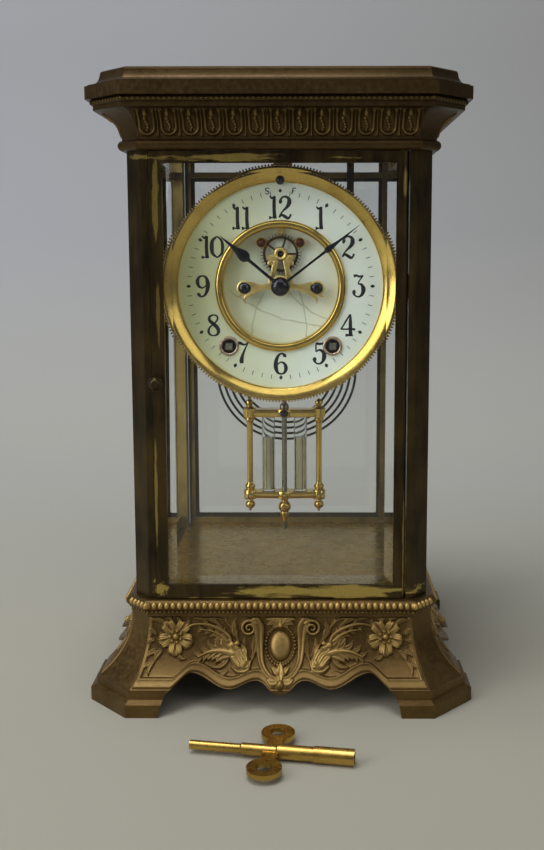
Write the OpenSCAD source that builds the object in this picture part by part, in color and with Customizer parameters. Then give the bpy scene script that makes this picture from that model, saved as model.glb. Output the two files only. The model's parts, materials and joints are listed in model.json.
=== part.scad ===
// Crystal regulator clock: a four-glass brass case on a cast base, with a visible escapement,
// a twin-vial mercury pendulum, a strike on a coiled gong, and the key that winds it.
// Origin at the middle of the base on the surface it stands on, X to the right, Y to the back, Z up.

/* [Case] */
// Width across the corner posts
body_w = 147.4; // [140:0.2:160]
// Depth across the corner posts
body_d = 140; // [136:1:156]
// Height of the base casting, from the table to its deck
base_h = 52.5; // [48:0.5:60]
// Height of the glazed case, from the deck to the cornice
case_h = 220.5; // [216:0.5:240]
// Height of the cornice casting
cornice_h = 29.5; // [28:0.5:34]
// Height of the cap on the cornice
cap_h = 7.5; // [6:0.5:10]
// Plan size of a corner post
post_w = 11.2; // [10.6:0.1:13]
// Chamfer on the outer corner of a post
post_chamfer = 7.7; // [6:0.1:8.4]
// How far the feet stand out from the posts
foot_out = 22.5; // [20:0.5:26]
// Height of the lower band of a foot
foot_h = 6.5; // [5:0.5:7.5]
// Thickness of the cast walls
cast_wall = 3.2; // [2.6:0.1:4]
// How far the cornice shelf stands out from the posts
shelf_out = 18; // [16:0.5:21]

/* [Glass and doors] */
// Thickness of the glass
glass_t = 4; // [3.4:0.1:4.6]
// Width of the bevel around a pane
bevel_w = 6.5; // [4:0.5:9]
// Thickness of a door frame
door_t = 6; // [5.6:0.1:7]
// Visible width of a door stile
stile_w = 6.1; // [5.6:0.1:7]
// Gap around a closed door
door_gap = 0.4; // [0.35:0.05:0.6]
// Radius of a door pivot pin
pivot_r = 1.15; // [0.9:0.05:1.3]
// Height of the door knobs above the deck
knob_up = 109.5; // [90:0.5:130]

/* [Dial] */
// Drop of the dial centre below the cornice
dial_drop = 65; // [63:0.5:70]
// Set-back of the dial face behind the posts' front
dial_set = 18; // [16:0.5:20]
// Visible radius of the enamel
dial_r = 50.8; // [49.5:0.1:52]
// Outer radius of the bezel
bezel_r = 57.3; // [56.6:0.1:58.5]
// Inner radius of the ring around the escapement
well_r = 28.7; // [28:0.1:30]
// Length of the minute hand
minute_len = 49.4; // [44:0.2:50]
// Length of the hour hand
hour_len = 39; // [34:0.5:42]
// Minute hand, degrees clockwise from twelve
minute_at = 52.4; // [0:0.1:360]
// Hour hand, degrees clockwise from twelve
hour_at = -50.2; // [-180:0.1:180]
// Sideways place of the winding holes
wind_x = 26; // [25.4:0.1:27]
// Drop of the winding holes below the dial centre
wind_drop = 30; // [29:0.1:31]

/* [Movement] */
// Clear space between the movement plates
plate_gap = 28; // [28:0.5:32]
// Thickness of the movement plates
plate_t = 2; // [1.6:0.1:2.4]
// Height of the escape wheel above the dial centre
escape_up = 16; // [15.6:0.1:16.6]
// Tip radius of the escape wheel
escape_r = 10.35; // [10:0.05:10.6]
// Radius of a pallet stone
stone_r = 0.55; // [0.45:0.05:0.6]

/* [Pendulum and gong] */
// Radius of the pendulum rod
rod_r = 1.45; // [1.2:0.05:1.6]
// Height of the lower bob plate above the deck
bob_up = 35.5; // [33:0.5:40]
// Height of the bob between its plates
bob_h = 45; // [40:0.5:50]
// Sideways place of the bob columns
column_x = 19.5; // [18:0.5:22]
// Outer radius of a mercury vial
vial_r = 3.8; // [3.2:0.1:4.2]
// Outer radius of the gong coil
gong_r = 41.6; // [38:0.2:43]
// Pitch of the gong coil
gong_pitch = 3.3; // [2.6:0.1:3.6]
// Turns of the gong coil
gong_turns = 4.75; // [3.75:1:5.75]
// Thickness of the gong wire
gong_wire = 1.4; // [1:0.1:1.8]

/* [Key] */
// Radius of the larger key barrel
key_r = 3.7; // [3.4:0.1:4.4]
// Length of the key
key_len = 75; // [70:1:84]

/* [Hidden] */
$fn = 64;

// Finishes
bronze = "#6b4f2a";
dark_brass = "#4a3b22";
brass = "#c9a24a";
gilt = "#d9b04f";
steel = "#8f949a";
blued = "#1f2633";
enamel = "#e6ead9";
clear = [0.8, 0.9, 0.95, 0.35];
ruby = "#8a3b2a";

// Clearances: a running fit on a shaft, a seat that is pushed home, and air between moving pieces
run = 0.05;
seat = 0.03;
air = 0.3;
past = 1;

// Case levels and half sizes
half_x = body_w / 2;
half_y = body_d / 2;
half_d = (half_x + half_y - post_chamfer) / sqrt(2);
in_x = half_x - post_w;
in_y = half_y - post_w;
deck_z = base_h;
top_z = deck_z + case_h;
shelf_z = top_z + cornice_h;
reach = 4 * max(half_x, half_y);

// Base profile: offsets from the posts' faces, heights from the table
deck_t = 5;
ledge_h = 1.5;
step_out = foot_out - 3;
step_z = foot_h + ledge_h + 4.2;
cove_out = step_out - 1.4;
neck_out = 1.5;
neck_z = base_h - 8.5;
collar_r = 3;
collar_out = 2;
fillet_out = 2.6;
cove_r = (pow(cove_out - neck_out, 2) + pow(neck_z - step_z, 2)) / (2 * (cove_out - neck_out));
cove_lap = 0.6;
// Scalloped apron: share of the half gap between the feet, and height of its edge
apron_keys = [[0, 10.4], [0.2, 15.6], [0.42, 12.6], [0.76, 18.5], [0.96, 11], [1, 0]];
foot_w = 36.7;
gap_x = half_x + foot_out - foot_w;
gap_y = half_y + foot_out - foot_w;

// Cornice profile
astragal_r = 2.5;
astragal_out = 1.5;
frieze_out = 2;
frieze_z = top_z + 6;
flare_out = 13;
flare_h = 12.5;
flare_r = (pow(flare_out - frieze_out, 2) + pow(flare_h, 2)) / (2 * (flare_out - frieze_out));
bead_out = 14.5;
bead_r = 1.4;
shelf_h = 6;
cap_in = 3.7;
cap_out = 13;
cap_step = 1;

// Posts, rails and glass
pane_lap = 2.2;
pane_edge = 2.2;
lip = 1.5;
rail_h = 7.5;
top_rail_h = 6;
rail_w = 6.7;
screw_in = 3.8;
screw_r = 1.6;
screw_head_r = 2.5;
screw_head_h = 2;
screw_into = 8;

// Doors: front door in place, the rear one is the same door turned half round
door_proud = 1;
door_x = in_x - door_gap;
door_y0 = -half_y - door_proud;
door_y1 = door_y0 + door_t;
pivot_x = door_x - door_t / 2;
pivot_y = door_y0 + door_t / 2;
pin_in = 3.4;
pin_seat = 4;
door_z0 = deck_z + door_gap;
door_z1 = top_z - door_gap;
open_x = door_x - stile_w;
open_z0 = deck_z + rail_h;
open_z1 = top_z - top_rail_h;
knob_x = -(door_x - 2);
knob_z = deck_z + knob_up;
knob_r = 3.4;
latch_r = 1.2;
tongue_w = 3;
tongue_t = 1.5;
tongue_len = 6.5;

// Movement levels, front to back
dial_z = top_z - dial_drop;
face_y = -half_y + dial_set;
ring_t = 3;
pan_t = 1.2;
pan_y = face_y + ring_t + pan_t;
disc_t = 1.5;
disc_y = face_y + 6;
plate_y = disc_y + disc_t + 6;
back_y = plate_y + plate_t + plate_gap;
rear_y = back_y + plate_t;
pend_y = rear_y + 10.5;
gong_y = pend_y + 21;
wheel_t = 1.2;
great_y = plate_y + plate_t + 3.5;
train_y = plate_y + plate_t + 1.5;
centre_y = plate_y + plate_t + 12.5;
late_y = back_y - 3.5;
warn_y = plate_y + plate_t + 9.5;

// Going train: tooth counts, pitch radii, and places that the meshes fix
great_n = 84;
great_r = 18.6;
second_leaf = 8;
second_n = 66;
second_r = 17.2;
centre_leaf = 10;
centre_n = 84;
centre_r = 17.64;
third_leaf = 7;
third_n = 77;
third_r = 14.63;
escape_leaf = 7;
escape_n = 36;
time_p = [wind_x, -wind_drop];
strike_p = [-wind_x, -wind_drop];
centre_p = [0, 0];
escape_p = [0, escape_up];
second_p = meet(centre_p, mesh_gap(second_r, second_n, centre_leaf), time_p,
    mesh_gap(great_r, great_n, second_leaf), -1);
third_p = meet(centre_p, mesh_gap(centre_r, centre_n, third_leaf), escape_p,
    mesh_gap(third_r, third_n, escape_leaf), -1);

// Strike train
pin_n = 63;
pin_r = 12.6;
warn_n = 56;
warn_r = 10.08;
warn_leaf = 7;
fly_leaf = 7;
pin_p = strike_p + polar(mesh_gap(great_r, great_n, second_leaf), 103);
warn_p = pin_p + polar(mesh_gap(pin_r, pin_n, warn_leaf), 95);
fly_p = warn_p + polar(mesh_gap(warn_r, warn_n, fly_leaf), 100);
fly_r = 7.5;
lift_pins = 8;

// Motion work behind the dial
cannon_n = 12;
cannon_r = 3;
minute_n = 36;
minute_r = 9;
change_n = 10;
hour_n = 40;
motion_gap = cannon_r + minute_r;
change_r = motion_gap * change_n / (change_n + hour_n);
hour_r = motion_gap - change_r;
motion_p = [0, -motion_gap];
centre_arbor_r = 1.2;
pipe_r = 1.75;
hour_pipe_r = 2.9;
hand_t = 0.65;
hour_hand_y = face_y - 3.2;
minute_hand_y = face_y - 4.8;
nut_r = 4.8;
nut_dome = 3.4;

// Tooth shape as shares of the circular pitch
tooth_root = 0.36;
tooth_tip = 0.25;
root_half = 0.24;
tip_half = 0.07;
trundle = 0.17;
arbor_r = 0.8;
journal_r = 0.55;
shroud_t = 0.5;

// Escapement: the stones clear the wheel at rest and enter between its teeth as the anchor rocks
stone_air = 0.15;
stone_reach = escape_r + stone_air + stone_r;
stone_angle = 30;
anchor_up = escape_up + stone_reach / sin(stone_angle);
anchor_p = [0, anchor_up];
stone_p = polar(stone_reach, stone_angle);
anchor_arbor_r = 1;
bridge_x = 18.2;
bridge_drop = 1;
bridge_t = 1.4;
bridge_y = face_y + 1;
bridge_post_r = 2.1;
escape_y = disc_y - 2.6;
escape_t = 0.9;
escape_shoulder = 5;
escape_tail = 6.4;

// Lips of the bezel and roll of the ring around the escapement
lip_w = 2.9;
lip_t = 1.6;
lip_lap = 0.1;
ring_wall = 2.2;
ring_roll = 2;

// Barrels, ratchets and clicks
drum_r = 16.5;
winding_r = 2.2;
square_w = 3.4;
ratchet_n = 24;
ratchet_r = 6.5;
ratchet_y = plate_y - 1.2;
click_p = [6, 9.6];
click_r = 1.9;
nose_air = 0.2;

// Plates, pillars and the case brackets
plate_r = 50;
plate_cut = 46;
pillars = [[31, 35.5], [-31, 35.5], [45.8, -4], [-45.8, -4], [0, -45.5]];
pillar_r = 2.4;
feet = [pillars[0], pillars[1], pillars[4]];
bracket_t = 2;
bracket_h = 12;
bracket_x = max(in_x, bezel_r + bracket_t + air);
bracket_y0 = bracket_x > in_x ? -in_y : door_y1 + 2 * tongue_t;
regulator_up = 53.3;
regulator_r = 1.3;
ear_w = 10;
ear_h = regulator_up + 4;
hammer_p = [-42.2, -18.2];
hammer_arbor_r = 1;
boss_r = 2.4;
boss_l = 7;
cock_p = [6.4, escape_up + 2];

// Pendulum levels
pivot_z = dial_z + anchor_up;
spring_t = 0.2;
spring_w = 5;
spring_up = 5.5;
spring_down = 4.5;
chop_h = 3;
bob_z = deck_z + bob_up;
bob_top = bob_z + bob_h;
bob_plate_h = 2.6;
bob_plate_d = 12;
column_r = 1.6;
vial_x = 9;
vial_wall = 0.6;
fill = 0.72;
nut_z = bob_z - 10;
nut_h = 5;
nut_tail = 6;
rod_tip_z = deck_z + 15.5;
crutch_len = 40;
fork_r = 0.4;
crutch_t = 1.4;

// Gong
gong_z = dial_z - 52;
gong_sides = 6;
gong_rings = 24;
block_up = 4;
block_h = 12;
block_w = 6;
post_x = 37.5;
post_bar = 4;
hammer_angle = 115;
head_r = 3.2;
head_len = 8;
head_air = 2.2;
shank_half = 1;
hammer_hub_r = 2.2;

// Key lying in front
key_out = 61.2;
key_at = [-2.4, -half_y - key_out];
key_turn = -9;
key_thin_r = 2.1;
groove_at = 0.76;
socket_len = 12;
bow_t = 2.2;
bow_r = 7.8;
bow_hole = 3.6;
bow_out = 16;
bow_neck = 6.8;

function polar(r, a) = [r * cos(a), r * sin(a)];
function pitch(r, n) = 2 * PI * r / n;
// Distance between a wheel and the pinion that it drives
function mesh_gap(r, n, leaf) = r + r * leaf / n;
function leaf_r(r, n, leaf) = r * leaf / n;
function angle(a, b) = atan2(b[1] - a[1], b[0] - a[0]);
// The point at distance ra from a and rb from b, on the side given by its sign
function meet(a, ra, b, rb, side) =
    let (d = norm(b - a), u = (ra * ra - rb * rb + d * d) / (2 * d), h = sqrt(ra * ra - u * u),
        e = (b - a) / d)
    a + u * e + side * h * [e[1], -e[0]];
function eased(a, b, t) = a + (b - a) * (1 - cos(180 * t)) / 2;
// Height of the apron's edge at a share of the half gap between the feet
function apron_z(s) =
    let (k = [for (i = [0:len(apron_keys) - 2]) if (apron_keys[i][0] <= s) i],
        a = apron_keys[k[len(k) - 1]], b = apron_keys[k[len(k) - 1] + 1])
    eased(a[1], b[1], (s - a[0]) / (b[0] - a[0]));

// Helpers

module with_half(h) {
    $half = h;
    children();
}

module slab(turn, h)
    rotate([0, 0, turn]) rotate([90, 0, 0]) linear_extrude(reach, center = true) with_half(h) children();

// A profile run round the case's chamfered plan, with mitred corners
module octagon() intersection() {
    intersection() {
        slab(0, half_x) children();
        slab(90, half_y) children();
    }
    intersection() {
        slab(45, half_d) children();
        slab(-45, half_d) children();
    }
}

module both_sides() {
    children();
    mirror([1, 0, 0]) children();
}

// Puts a drawing that faces the viewer at a place on the dial, from y_front back to y_rear
module at_dial(p, y_front, y_rear)
    translate([p[0], y_rear, dial_z + p[1]]) rotate([90, 0, 0]) linear_extrude(y_rear - y_front) children();

// A round bar along Y
module bar(p, r, y_front, y_rear) at_dial(p, y_front, y_rear) circle(r);

// A profile of radius and depth turned about an axis through the dial
module turned(p) translate([p[0], 0, dial_z + p[1]]) rotate([-90, 0, 0]) rotate_extrude($fn = 96) children();

module four_corners() for (sx = [-1, 1], sy = [-1, 1])
    translate([sx * (in_x + screw_in), sy * (in_y + screw_in), 0]) children();

module half_turned() rotate([0, 0, 180]) children();

// Base

// A half outline closed across the middle by its mirror image
function mirrored(right) = concat(right, [for (i = [len(right) - 1:-1:0]) [-right[i][0], right[i][1]]]);

// A round hollow that stays between two heights
module hollow(at, r, z0, z1) intersection() {
    translate(at) circle(r, $fn = 180);
    translate([at[0] - r, z0]) square([2 * r, z1 - z0]);
}

module foot_section(edge, z0) polygon(mirrored([[edge + foot_out, z0], [edge + foot_out, foot_h],
    [edge + step_out, foot_h + ledge_h], [edge + step_out, step_z]]));

// The cove, running a little way into the step below it and the fillet above it
module cove_section(edge) difference() {
    polygon(mirrored([[edge + step_out, step_z - cove_lap], [edge + step_out, neck_z + cove_lap]]));
    for (s = [-1, 1]) translate([s * (edge + neck_out + cove_r), neck_z]) circle(cove_r, $fn = 180);
}

// The plinth's bulk, its faces set in by wall, from z0 up to z1
module plinth(wall, z0, z1) {
    octagon() foot_section($half - wall, z0);
    octagon() cove_section($half - wall);
    octagon() polygon(mirrored([[$half - wall + fillet_out, neck_z], [$half - wall + fillet_out, z1]]));
}

module collar_section() both_sides() {
    translate([0, deck_z - 2 * collar_r]) square([$half + collar_out, 2 * collar_r]);
    translate([$half + collar_out, deck_z - collar_r]) circle(collar_r);
}

module apron_gap(half_gap, turn) {
    steps = 25;
    right = [for (i = [0.5:steps - 0.5]) [half_gap * i / steps, apron_z(i / steps)]];
    rotate([0, 0, turn]) rotate([90, 0, 0]) linear_extrude(reach, center = true)
        polygon(mirrored(concat(right, [[half_gap, -past]])));
}

module base_casting() color(bronze) difference() {
    union() {
        plinth(0, 0, deck_z);
        octagon() collar_section();
    }
    plinth(cast_wall, -past, deck_z - deck_t);
    apron_gap(gap_x, 0);
    apron_gap(gap_y, 90);
    four_corners() cylinder(r = screw_r + run, h = 2 * reach, center = true);
    pivots() translate([0, 0, deck_z - pin_seat]) cylinder(r = pivot_r + seat, h = pin_seat + past);
}

module floor_plate() color(gilt) translate([-in_x + air, door_y1 + air, deck_z])
    cube([2 * (in_x - air), -2 * (door_y1 + air), plate_t]);

// Posts, rails and side glass

module post_plan() polygon([[0, 0], [post_w, 0], [post_w, post_w - post_chamfer],
    [post_w - post_chamfer, post_w], [0, post_w]]);

// One post in the back right corner, grooved for the side glass
module post() difference() {
    translate([in_x, in_y, deck_z]) linear_extrude(case_h) post_plan();
    translate([half_x - lip - glass_t - seat, in_y - past, deck_z - past])
        cube([glass_t + 2 * seat, pane_lap + past, case_h + 2 * past]);
    for (z = [deck_z - past, top_z - screw_into]) translate([in_x + screw_in, in_y + screw_in, z])
        cylinder(r = screw_r + seat, h = screw_into + past);
}

// The keeper that the latch tongue turns into
module keeper() translate([-in_x - tongue_len, door_y1 - seat, knob_z - tongue_w])
    cube([tongue_len + past, 2 * (tongue_t + air), tongue_len + 2 * tongue_w]);

module corner_posts() color(dark_brass) {
    mirror([0, 1, 0]) post();
    mirror([1, 0, 0]) post();
    difference() {
        half_turned() post();
        keeper();
    }
    difference() {
        post();
        half_turned() keeper();
    }
}

module side_rail(z, h, groove_z) difference() {
    translate([half_x - rail_w, -in_y + seat, z]) cube([rail_w, 2 * (in_y - seat), h]);
    translate([half_x - lip - glass_t - seat, -in_y, groove_z])
        cube([glass_t + 2 * seat, 2 * in_y, pane_lap]);
}

module side_rails() color(dark_brass) both_sides() {
    side_rail(deck_z, rail_h, open_z0 - pane_lap);
    side_rail(top_z - top_rail_h, top_rail_h, open_z1);
}

module pane_section(half) polygon([[-half, 0], [half, 0], [half, pane_edge], [half - bevel_w, glass_t],
    [-half + bevel_w, glass_t], [-half, pane_edge]]);

// A bevelled pane standing on its edge, its bevelled face towards -Y, its back on y = 0
module pane(w, h) translate([0, 0, h / 2]) rotate([90, 0, 0]) intersection() {
    rotate([90, 0, 0]) linear_extrude(h, center = true) pane_section(w / 2);
    rotate([0, 0, 90]) rotate([90, 0, 0]) linear_extrude(w, center = true) pane_section(h / 2);
}

module side_glass() color(clear) both_sides()
    translate([half_x - lip - glass_t, 0, open_z0 - pane_lap + seat]) rotate([0, 0, 90])
    pane(2 * (in_y + pane_lap - seat), open_z1 - open_z0 + 2 * (pane_lap - seat));

// Cornice and cap

module cornice_section() {
    flare_z = frieze_z + flare_h;
    difference() {
        polygon(mirrored([[$half + astragal_out, top_z], [$half + astragal_out, top_z + 2 * astragal_r],
            [$half + frieze_out, top_z + 2 * astragal_r], [$half + frieze_out, frieze_z],
            [$half + bead_out, frieze_z], [$half + bead_out, shelf_z - shelf_h],
            [$half + shelf_out, shelf_z - shelf_h], [$half + shelf_out, shelf_z]]));
        for (s = [-1, 1]) hollow([s * ($half + frieze_out + flare_r), frieze_z], flare_r, frieze_z, flare_z);
    }
    for (s = [-1, 1]) {
        translate([s * ($half + astragal_out), top_z + astragal_r]) circle(astragal_r);
        translate([s * ($half + bead_out), shelf_z - shelf_h - bead_r]) circle(bead_r);
    }
}

module cornice_void() both_sides() {
    translate([0, top_z + deck_t]) square([$half - 2, cornice_h]);
    translate([0, frieze_z + flare_h]) square([$half + flare_out - 2 * cast_wall, cornice_h]);
}

module cornice_casting() color(bronze) difference() {
    octagon() cornice_section();
    octagon() cornice_void();
    four_corners() cylinder(r = screw_r + run, h = 4 * reach, center = true);
    pivots() translate([0, 0, top_z - past]) cylinder(r = pivot_r + seat, h = pin_seat + past);
}

module cap_section() {
    rise = cap_h - cap_step;
    run_in = cap_out + cap_in;
    sweep = (run_in * run_in + rise * rise) / (2 * rise);
    both_sides() difference() {
        translate([0, shelf_z]) square([$half + cap_out, cap_h]);
        translate([$half + cap_out, shelf_z + cap_step + sweep]) circle(sweep, $fn = 180);
    }
}

module cap_void() both_sides() translate([0, shelf_z - past])
    square([$half - 2 * cap_in, past + cap_h - cast_wall]);

module top_cap() color(bronze) difference() {
    octagon() cap_section();
    octagon() cap_void();
}

// Screws that hold the posts between the castings, four below and four above
module post_screw() {
    translate([0, 0, -screw_head_h]) cylinder(r = screw_head_r, h = screw_head_h);
    cylinder(r = screw_r, h = deck_t + screw_into - seat);
}

module case_screws() color(steel) four_corners() {
    translate([0, 0, deck_z - deck_t]) post_screw();
    translate([0, 0, top_z + deck_t]) mirror([0, 0, 1]) post_screw();
}

// Doors

module pivots() {
    translate([pivot_x, pivot_y, 0]) children();
    half_turned() translate([pivot_x, pivot_y, 0]) children();
}

module hinge_pins() color(brass) pivots() {
    translate([0, 0, deck_z - pin_seat]) cylinder(r = pivot_r, h = pin_seat + door_gap + pin_in);
    translate([0, 0, door_z1 - pin_in]) cylinder(r = pivot_r, h = pin_seat + door_gap + pin_in);
}

module door_frame() difference() {
    translate([0, 0, door_z0]) linear_extrude(door_z1 - door_z0) union() {
        translate([-door_x, door_y0]) square([door_x + pivot_x, door_t]);
        translate([pivot_x, pivot_y]) circle(door_t / 2);
    }
    translate([-open_x, door_y0 - past, open_z0]) cube([2 * open_x, door_t + 2 * past, open_z1 - open_z0]);
    translate([-open_x - pane_lap, door_y0 + lip, open_z0 - pane_lap])
        cube([2 * (open_x + pane_lap), door_t, open_z1 - open_z0 + 2 * pane_lap]);
    for (z = [door_z0 - past, door_z1 - pin_in - seat]) translate([pivot_x, pivot_y, z])
        cylinder(r = pivot_r + run, h = pin_in + past + seat);
    translate([knob_x, door_y1 + past, knob_z]) rotate([90, 0, 0])
        cylinder(r = latch_r + run, h = door_t + 2 * past);
}

module door_glass() translate([0, door_y0 + lip + glass_t + seat, open_z0 - pane_lap + seat])
    pane(2 * (open_x + pane_lap - seat), open_z1 - open_z0 + 2 * (pane_lap - seat));

// A turned knob in front, its spindle through the stile, and a tongue behind that stands up when free
module latch() translate([knob_x, 0, knob_z]) {
    translate([0, door_y0 - seat, 0]) rotate([90, 0, 0]) rotate_extrude() {
        square([knob_r * 0.6, 1]);
        square([knob_r * 0.4, knob_r]);
        translate([0, 2.2 + knob_r / 2]) intersection() {
            circle(knob_r);
            translate([0, -knob_r / 2]) square([knob_r, knob_r * 1.4]);
        }
    }
    translate([0, door_y1 + seat + tongue_t, 0]) rotate([90, 0, 0]) {
        cylinder(r = latch_r, h = door_t + 2 * seat + tongue_t);
        linear_extrude(tongue_t) {
            circle(tongue_w / 2);
            translate([-tongue_w / 2, 0]) square([tongue_w, tongue_len]);
        }
    }
}

module front_door_frame() color(dark_brass) door_frame();
module front_glass() color(clear) door_glass();
module front_latch() color(dark_brass) latch();
module rear_door_frame() color(dark_brass) half_turned() door_frame();
module rear_glass() color(clear) half_turned() door_glass();
module rear_latch() color(dark_brass) half_turned() latch();

// Wheels

// Outline of a toothed wheel with a tooth centred on the angle given
module teeth(n, r, at, tip = tooth_tip) {
    p = pitch(r, n);
    corner = [[-tooth_root, -root_half], [tip, -tip_half], [tip, tip_half], [-tooth_root, root_half]];
    polygon([for (k = [0:n - 1], c = corner) polar(r + c[0] * p, at + (k + c[1]) * 360 / n)]);
}

// Windows that leave a rim, a hub and spokes
module crossings(rim, hub, spokes, spoke_w) difference() {
    circle(rim);
    circle(hub);
    for (k = [0:spokes - 1]) rotate(k * 360 / spokes) translate([0, -spoke_w / 2])
        square([rim + past, spoke_w]);
}

module wheel(p, n, r, at, y, spokes = 5) at_dial(p, y, y + wheel_t) difference() {
    teeth(n, r, at);
    crossings(r - tooth_root * pitch(r, n) - 1.5, 3.2, spokes, 1.6);
}

// A lantern pinion: wire trundles between two shrouds, meshing with a wheel whose front face is at y
module lantern(p, n, r, at, y) {
    wire = trundle * pitch(r, n);
    length = wheel_t + 2 * air;
    for (k = [0:n - 1]) bar(p + polar(r, at + (k + 0.5) * 360 / n), wire, y - air - shroud_t, y + length);
    for (s = [y - air - shroud_t, y + wheel_t + air]) bar(p, r + wire + 0.2, s, s + shroud_t);
}

// An arbor between the plates, with its journals
module arbor(p, r = arbor_r) {
    bar(p, r, plate_y + plate_t + air, back_y - air);
    bar(p, journal_r, plate_y, rear_y);
}

module journals(list) for (p = list) translate(p) circle(journal_r + run);

module centre_wheel() color(brass) {
    wheel(centre_p, centre_n, centre_r, angle(centre_p, third_p), centre_y, 4);
    lantern(centre_p, centre_leaf, leaf_r(second_r, second_n, centre_leaf), angle(centre_p, second_p), late_y);
    bar(centre_p, centre_arbor_r, minute_hand_y + 0.2, back_y - air);
    bar(centre_p, journal_r, back_y - past, rear_y);
}

module intermediate_wheel() color(brass) {
    wheel(second_p, second_n, second_r, angle(second_p, centre_p), late_y);
    lantern(second_p, second_leaf, leaf_r(great_r, great_n, second_leaf), angle(second_p, time_p), great_y);
    arbor(second_p);
}

module third_wheel() color(brass) {
    wheel(third_p, third_n, third_r, angle(third_p, escape_p), train_y);
    lantern(third_p, third_leaf, leaf_r(centre_r, centre_n, third_leaf), angle(third_p, centre_p), centre_y);
    arbor(third_p, 0.7);
}

// Pointed radial teeth, an open rim and the arbor that runs back through the front plate
module escape_wheel() color(brass) {
    at_dial(escape_p, escape_y, escape_y + escape_t) difference() {
        polygon([for (k = [0:escape_n - 1], c = [[0.86, -1.6], [1, -0.7], [1, 0.2], [0.86, 1.2]])
            polar(escape_r * c[0], (k + 0.5) * 360 / escape_n + c[1])]);
        crossings(escape_r * 0.74, 2.6, 5, 1);
    }
    bar(escape_p, arbor_r, bridge_y + bridge_t + air, train_y + escape_shoulder);
    bar(escape_p, journal_r, bridge_y, train_y + escape_tail);
    lantern(escape_p, escape_leaf, leaf_r(third_r, third_n, escape_leaf), angle(escape_p, third_p), train_y);
}

// Barrels: a drum with a toothed rim, turning on the winding arbor
module barrel(p, mate) {
    at_dial(p, great_y, great_y + wheel_t) difference() {
        teeth(great_n, great_r, angle(p, mate));
        circle(winding_r + run);
    }
    at_dial(p, great_y + wheel_t, late_y - 1.2) difference() {
        circle(drum_r);
        circle(winding_r + run);
    }
    at_dial(p, late_y - 1.2, late_y - 0.6) difference() {
        circle(drum_r - 1.2);
        circle(winding_r + run);
    }
}

module winding_arbor(p) {
    bar(p, winding_r, ratchet_y - 2, rear_y);
    at_dial(p, face_y - 1, ratchet_y - 1) square(square_w, center = true);
    at_dial(p, ratchet_y - 0.6, ratchet_y + 0.9)
        polygon([for (k = [0:ratchet_n - 1], c = [[1, 0], [0.84, 2]])
            polar(ratchet_r * c[0], (k * 360 + c[1]) / ratchet_n)]);
}

// A click on its stud, its nose resting just off the ratchet's tips
module click(p, side) {
    pivot = [side * click_p[0], click_p[1]];
    nose = polar(ratchet_r + nose_air, side > 0 ? 30 : 150);
    along = (nose - pivot) / norm(nose - pivot);
    across = [along[1], -along[0]] * click_r * 0.8;
    at_dial(p, ratchet_y - 0.6, ratchet_y + 0.9) {
        translate(pivot) circle(click_r);
        polygon([pivot + across, nose, pivot - across]);
    }
    bar(p + pivot, journal_r, ratchet_y, plate_y + plate_t);
}

module time_barrel() color(brass) barrel(time_p, second_p);
module strike_barrel() color(brass) barrel(strike_p, pin_p);
module time_winding_arbor() color(steel) winding_arbor(time_p);
module strike_winding_arbor() color(steel) winding_arbor(strike_p);
module time_click() color(steel) click(time_p, 1);
module strike_click() color(steel) click(strike_p, -1);

// Strike train

module pin_wheel() color(brass) {
    wheel(pin_p, pin_n, pin_r, angle(pin_p, warn_p), late_y);
    lantern(pin_p, second_leaf, leaf_r(great_r, great_n, second_leaf), angle(pin_p, strike_p), great_y);
    arbor(pin_p);
    lift_y = late_y + wheel_t;
    for (k = [0:lift_pins - 1])
        bar(pin_p + polar(pin_r - 2.2, k * 360 / lift_pins), 0.5, lift_y - 0.2, lift_y + 1.2);
}

module warning_wheel() color(brass) {
    wheel(warn_p, warn_n, warn_r, angle(warn_p, fly_p), warn_y, 4);
    lantern(warn_p, warn_leaf, leaf_r(pin_r, pin_n, warn_leaf), angle(warn_p, pin_p), late_y);
    arbor(warn_p, 0.7);
}

module strike_fly() color(brass) {
    lantern(fly_p, fly_leaf, leaf_r(warn_r, warn_n, fly_leaf), angle(fly_p, warn_p), warn_y);
    arbor(fly_p, 0.7);
    at_dial(fly_p, warn_y + 4, warn_y + 13) union() {
        square([2 * fly_r, 0.8], center = true);
        circle(1.4);
    }
}

// Motion work and hands

module cannon_pinion() color(steel) {
    at_dial(centre_p, plate_y - 2.6, plate_y - 1) difference() {
        teeth(cannon_n, cannon_r, angle(centre_p, motion_p) + 180 / cannon_n, 0.2);
        circle(centre_arbor_r + run);
    }
    at_dial(centre_p, minute_hand_y + hand_t, plate_y - 2.6) difference() {
        circle(pipe_r);
        circle(centre_arbor_r + run);
    }
}

module minute_wheel() color(brass) {
    wheel(motion_p, minute_n, minute_r, angle(motion_p, centre_p), plate_y - 2.4, 4);
    at_dial(motion_p, plate_y - 5.2, plate_y - 3.6)
        teeth(change_n, change_r, angle(motion_p, centre_p) + 180 / change_n, 0.2);
    bar(motion_p, arbor_r, plate_y - 5.2, plate_y - air);
    bar(motion_p, journal_r, plate_y - 1, plate_y + plate_t);
}

module hour_wheel() color(brass) {
    at_dial(centre_p, plate_y - 5, plate_y - 3.8) difference() {
        teeth(hour_n, hour_r, angle(centre_p, motion_p));
        circle(pipe_r + run);
    }
    at_dial(centre_p, hour_hand_y, plate_y - 5) difference() {
        circle(hour_pipe_r);
        circle(pipe_r + run);
    }
}

// A hand is a ring on its pipe and a shank pointing up: slim, then a leaf, then a long tip
module hand_ring(hub, bore) difference() {
    circle(hub);
    circle(bore);
}

module hand_shank(length, base, leaf_from, leaf_to, leaf_w, slim) {
    belly = leaf_from + (leaf_to - leaf_from) * 0.3;
    right = [[slim, base], [slim, leaf_from], [leaf_w, belly], [slim * 0.9, leaf_to], [slim * 0.35, length]];
    polygon(mirrored(right));
}

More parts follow.
